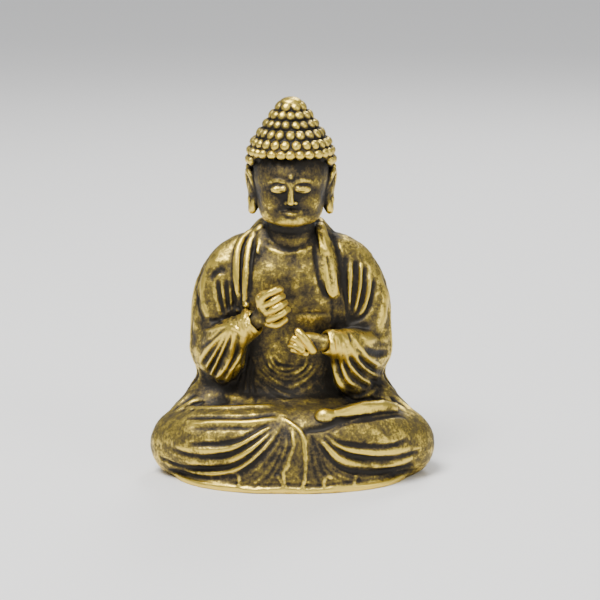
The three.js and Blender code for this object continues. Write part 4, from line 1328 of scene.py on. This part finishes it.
def with_surroundings(block, form):
    """A block's forms together with whatever the other blocks hold in the same place."""
    whole = form.copy()
    for other, field in BLOCKS:
        (low, high), (other_low, other_high) = block.corners(), other.corners()
        if other is not block and np.all(np.maximum(low, other_low) < np.minimum(high, other_high)):
            part, near = carried_over(other, field, block)
            whole[part] = np.minimum(whole[part], near)
    return np.clip(whole, -1.5, 1.5)


# The coarse blur, taken with the neighbouring blocks, is the sheltering number: patina in hollows, and painted
# shade where parts crowd each other.
surroundings = {}
for block, form in BLOCKS:
    whole = with_surroundings(block, form)
    surroundings[id(block)] = whole, blurred(whole, 0.2, block.grain), blurred(whole, 0.8, block.grain)
print(len(surroundings), f"blocks blurred, {time.time() - started:.1f} s in")

# %% [markdown]
# The zero level of a grid becomes a mesh of quads, which a volume library does quickly and without
# holes. Where a piece was cut from the whole, it keeps the whole's normals on the outside, so that a
# seam without a crease doesn't catch the light.

# %% Turning a field into a mesh
def largest_island(points, quads):
    """Drops the crumbs that a cut may leave."""
    label = np.arange(len(points))
    while True:
        lowest = label[quads].min(1)
        new = label.copy()
        for corner in quads.T:
            np.minimum.at(new, corner, lowest)
        new = new[new]
        if (new == label).all():
            break
        label = new
    names, sizes = np.unique(label, return_counts=True)
    keep = label == names[np.argmax(sizes)]
    number = np.cumsum(keep) - 1
    return points[keep], number[quads[keep[quads[:, 0]]]]


def skin(block, field):
    """The zero level of a field, as points in mm and quads, closed where it meets the block's edge."""
    edge = np.full([n + 2 for n in field.shape], 1, np.float32)
    edge[1:-1, 1:-1, 1:-1] = np.clip(field, -1, 1)
    grid = openvdb.FloatGrid(1)
    grid.copyFromArray(edge)
    points, quads = grid.convertToQuads(isovalue=0.0)
    points, quads = largest_island(points - 1, quads.astype(np.int64))
    return points * block.grain + block.low, quads


print("the foot's skin has", len(skin(ground, foot)[1]), "faces")


# %% Turning a casting into a piece
def casting(name, block, field, whole, ridges, hollows, darker_by=0.0):
    """Turns a field into a mesh piece, and writes its wear, and its shelter for patina and painted shade.

    The last argument is taken off the piece's wear, which makes the whole piece a little darker.
    """
    points, quads = skin(block, field)
    mesh = bpy.data.meshes.new(name)
    mesh.vertices.add(len(points))
    mesh.vertices.foreach_set("co", (points * MM).astype(np.float32).ravel())
    mesh.loops.add(quads.size)
    mesh.loops.foreach_set("vertex_index", quads.astype(np.int32).ravel())
    mesh.polygons.add(len(quads))
    mesh.polygons.foreach_set("loop_start", np.arange(0, quads.size, 4, dtype=np.int32))
    mesh.polygons.foreach_set("use_smooth", np.ones(len(quads), bool))
    mesh.update(calc_edges=True)
    outside = np.abs(sample(block, whole, points)) < 0.6 * block.grain
    facing = np.array([vertex.normal for vertex in mesh.vertices])
    facing[outside] = normals(block, points[outside], whole)
    mesh.normals_split_custom_set_from_vertices(facing)
    # The sheltering number darkens the brass later: patina, and painted shade in hollows and between parts.
    for attribute, source, less in (("wear", ridges, darker_by), ("patina_and_shade", hollows, 0.0)):
        layer = mesh.attributes.new(attribute, "FLOAT", "POINT")
        layer.data.foreach_set("value", (sample(block, source, points) - less).astype(np.float32))
    piece = bpy.data.objects.new(name, mesh)
    bpy.context.collection.objects.link(piece)
    low, high = points.min(0), points.max(0)
    print(f"{name:16s} {len(quads):6d} faces, from {np.round(low, 1)} to {np.round(high, 1)} mm")
    return piece


# %% The eleven cast pieces
DARKER_BY = {"head_casting": 0.060, "hair_cap": 0.020}  # head and hair are made a little darker all over
CUT_FROM = {
    "head_casting": head, "hair_cap": head, "crown_jewel": head,
    "right_foot": ground, "right_hand": hands, "left_hand": hands,
}
pieces = {}
for name, form in {**robe_pieces, **cut_pieces}.items():
    block = CUT_FROM.get(name, clay)
    piece = casting(name, block, form, *surroundings[id(block)], DARKER_BY.get(name, 0.0))
    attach(piece, "root")
    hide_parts(name)
    pieces[name] = piece
print(f"meshes after {time.time() - started:.0f} s")

# %% [markdown]
# ## The brass
#
# Antiqued brass is one metal in four states: soot in the deep furrows, brown beside them, olive on the
# flats, and bare gold where it was rubbed. One number walks through all four. It adds the two numbers
# on the mesh to three sizes of noise, so that the edges of the rubbed places break up. The sheltering
# number is partly painted shade, so the soot and brown in hollows and between parts are partly patina
# and partly painted shade. The small classes below let the material be written as arithmetic.

# %% Shader maths
class Value:
    """A number that may vary over a surface. Arithmetic on values adds Math nodes."""

    def __init__(self, tree, socket):
        self.tree, self.socket = tree, socket

    def math(self, operation, first, second):
        return self.tree.node("ShaderNodeMath", {"operation": operation}, first, second)

    def __add__(self, other):
        return self.math("ADD", self, other)

    def __sub__(self, other):
        return self.math("SUBTRACT", self, other)

    def __rsub__(self, other):
        return self.math("SUBTRACT", other, self)

    def __mul__(self, other):
        return self.math("MULTIPLY", self, other)

    __radd__, __rmul__ = __add__, __mul__

    def between(self, low, high):
        """0 at or below low, 1 at or above high, smooth between."""
        return self.tree.node(
            "ShaderNodeMapRange", {"interpolation_type": "SMOOTHSTEP"}, self, low, high, 0.0, 1.0
        )


print("a value can do:", ", ".join(name.strip("_") for name, made in vars(Value).items() if callable(made)))

# %% A material under construction
class Finish:
    """Holds a material's nodes, and adds more."""

    def __init__(self, name):
        self.material = bpy.data.materials.new(name)
        self.material.use_nodes = True
        self.nodes, self.links = self.material.node_tree.nodes, self.material.node_tree.links
        self.metal = self.nodes["Principled BSDF"]

    def node(self, kind, settings=None, *inputs, output=0, **named):
        node = self.nodes.new(kind)
        for name, value in (settings or {}).items():
            setattr(node, name, value)
        for key, value in [*enumerate(inputs), *named.items()]:
            self.put(node.inputs[key.replace("_", " ") if isinstance(key, str) else key], value)
        return Value(self, node.outputs[output])

    def put(self, socket, value):
        if isinstance(value, Value):
            self.links.new(value.socket, socket)
        else:
            socket.default_value = value

    def mix(self, share, a, b, blend="MIX"):
        node = self.nodes.new("ShaderNodeMix")
        node.data_type, node.blend_type = "RGBA", blend
        for socket, value in zip((node.inputs[0], node.inputs[6], node.inputs[7]), (share, a, b)):
            self.put(socket, (*value, 1) if isinstance(value, tuple) and len(value) == 3 else value)
        return Value(self, node.outputs[2])


print("each material starts from a Principled BSDF")


# %% Antiqued brass
def antique_brass():
    """Brass that is dark where it is sheltered, as patina and as painted shade, and gold where it is worn."""
    brass = Finish("antique brass")
    place = brass.node("ShaderNodeTexCoord", output=3)
    wear = brass.node("ShaderNodeAttribute", {"attribute_name": "wear"}, output=2)
    patina_and_shade = brass.node("ShaderNodeAttribute", {"attribute_name": "patina_and_shade"}, output=2)

    def noise(scale, detail=4.0, roughness=0.6):
        settings = {"Vector": place, "Scale": scale, "Detail": detail, "Roughness": roughness}
        return brass.node("ShaderNodeTexNoise", {}, **settings)

    cloud, fleck, grit = noise(700, 5), noise(3600, 4, 0.65), noise(9000, 3, 0.6)
    # The sheltering term darkens hollows and the places between parts, as patina and as painted shade.
    rub_and_shade = wear * 6.6 + patina_and_shade * 3.4 + (cloud - 0.5) * 2.2 + (fleck - 0.5) * 1.7 + (grit - 0.5) * 0.6 - 0.18
    exposed = rub_and_shade.between(0.05, 0.75)
    # The darkest two colours are deep patina and painted shade together.
    soot_and_shade, brown = (0.012, 0.009, 0.005), (0.062, 0.044, 0.016)
    olive, gold = (0.165, 0.124, 0.033), (0.80, 0.585, 0.10)
    colour = brass.mix(rub_and_shade.between(-0.75, -0.25), soot_and_shade, brown)
    colour = brass.mix(rub_and_shade.between(-0.35, 0.15), colour, olive)
    colour = brass.mix(exposed, colour, gold)
    brass.put(brass.metal.inputs["Base Color"], colour)
    brass.put(brass.metal.inputs["Metallic"], 0.55 + 0.45 * rub_and_shade.between(-0.4, 0.3))
    brass.put(brass.metal.inputs["Roughness"], 0.56 - 0.26 * exposed + 0.16 * (fleck - 0.5))
    bump = brass.node("ShaderNodeBump", {}, Strength=0.7, Distance=0.00008, Height=fleck * 0.7 + grit * 0.4)
    brass.put(brass.metal.inputs["Normal"], bump)
    return brass.material


finish = antique_brass()
for piece in pieces.values():
    piece.data.materials.append(finish)
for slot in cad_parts["base_plate"].material_slots:
    slot.material = finish
print(finish.name, "has", len(finish.node_tree.nodes), "nodes")

# %% [markdown]
# ## Studio
#
# A plain pale floor, an even sky, one large soft lamp from the upper left, a weak fill and a weak back
# light, and soft daylight so that the floor stays even far away. The camera looks slightly down on the
# figure from the front.

# %% Floor
bpy.ops.mesh.primitive_plane_add(size=8)
floor = bpy.context.object
floor.name = "floor"
paper = bpy.data.materials.new("pale paper")
paper.use_nodes = True
paper.node_tree.nodes["Principled BSDF"].inputs["Base Color"].default_value = (0.78, 0.77, 0.75, 1)
paper.node_tree.nodes["Principled BSDF"].inputs["Roughness"].default_value = 0.8
floor.data.materials.append(paper)
print("floor", floor.dimensions[0], "m wide")

# %% Light
world = bpy.data.worlds.new("studio")
bpy.context.scene.world = world
world.use_nodes = True
world.node_tree.nodes["Background"].inputs["Color"].default_value = (0.9, 0.93, 1.0, 1)
world.node_tree.nodes["Background"].inputs["Strength"].default_value = 0.43


def softbox(name, position, size, power, colour=(1, 1, 1)):
    light = bpy.data.lights.new(name, "AREA")
    light.shape, light.size, light.energy, light.color = "DISK", size, power, colour
    lamp = bpy.data.objects.new(name, light)
    bpy.context.collection.objects.link(lamp)
    lamp.location = position
    lamp.rotation_euler = (Vector((0, 0, 0.015)) - lamp.location).to_track_quat("-Z", "Y").to_euler()


softbox("key", (-0.10, -0.12, 0.34), 0.16, 1.9)
softbox("fill", (0.28, -0.20, 0.16), 0.20, 0.4)
softbox("back", (0.08, 0.26, 0.28), 0.14, 0.7)
daylight = bpy.data.objects.new("daylight", bpy.data.lights.new("daylight", "SUN"))
daylight.data.energy, daylight.data.angle = 1.5, math.radians(45)
daylight.rotation_euler = (math.radians(20), math.radians(-14), 0)
bpy.context.collection.objects.link(daylight)
print(len(bpy.data.lights), "lights")

# %% Camera
DISTANCE, ELEVATION = 0.205, math.radians(12)
target = Vector((0.00095, 0, 0.0184))
camera = bpy.data.objects.new("camera", bpy.data.cameras.new("camera"))
bpy.context.collection.objects.link(camera)
camera.location = target + Vector((0, -math.cos(ELEVATION), math.sin(ELEVATION))) * DISTANCE
camera.rotation_euler = (math.pi / 2 - ELEVATION, 0, 0)
camera.data.lens = 116.8
camera.data.clip_start = 0.01
bpy.context.scene.camera = camera
print("camera at", np.round(camera.location, 3), "m")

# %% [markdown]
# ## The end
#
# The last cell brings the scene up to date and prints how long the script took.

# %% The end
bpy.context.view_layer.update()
print(f"made in {time.time() - started:.0f} s")
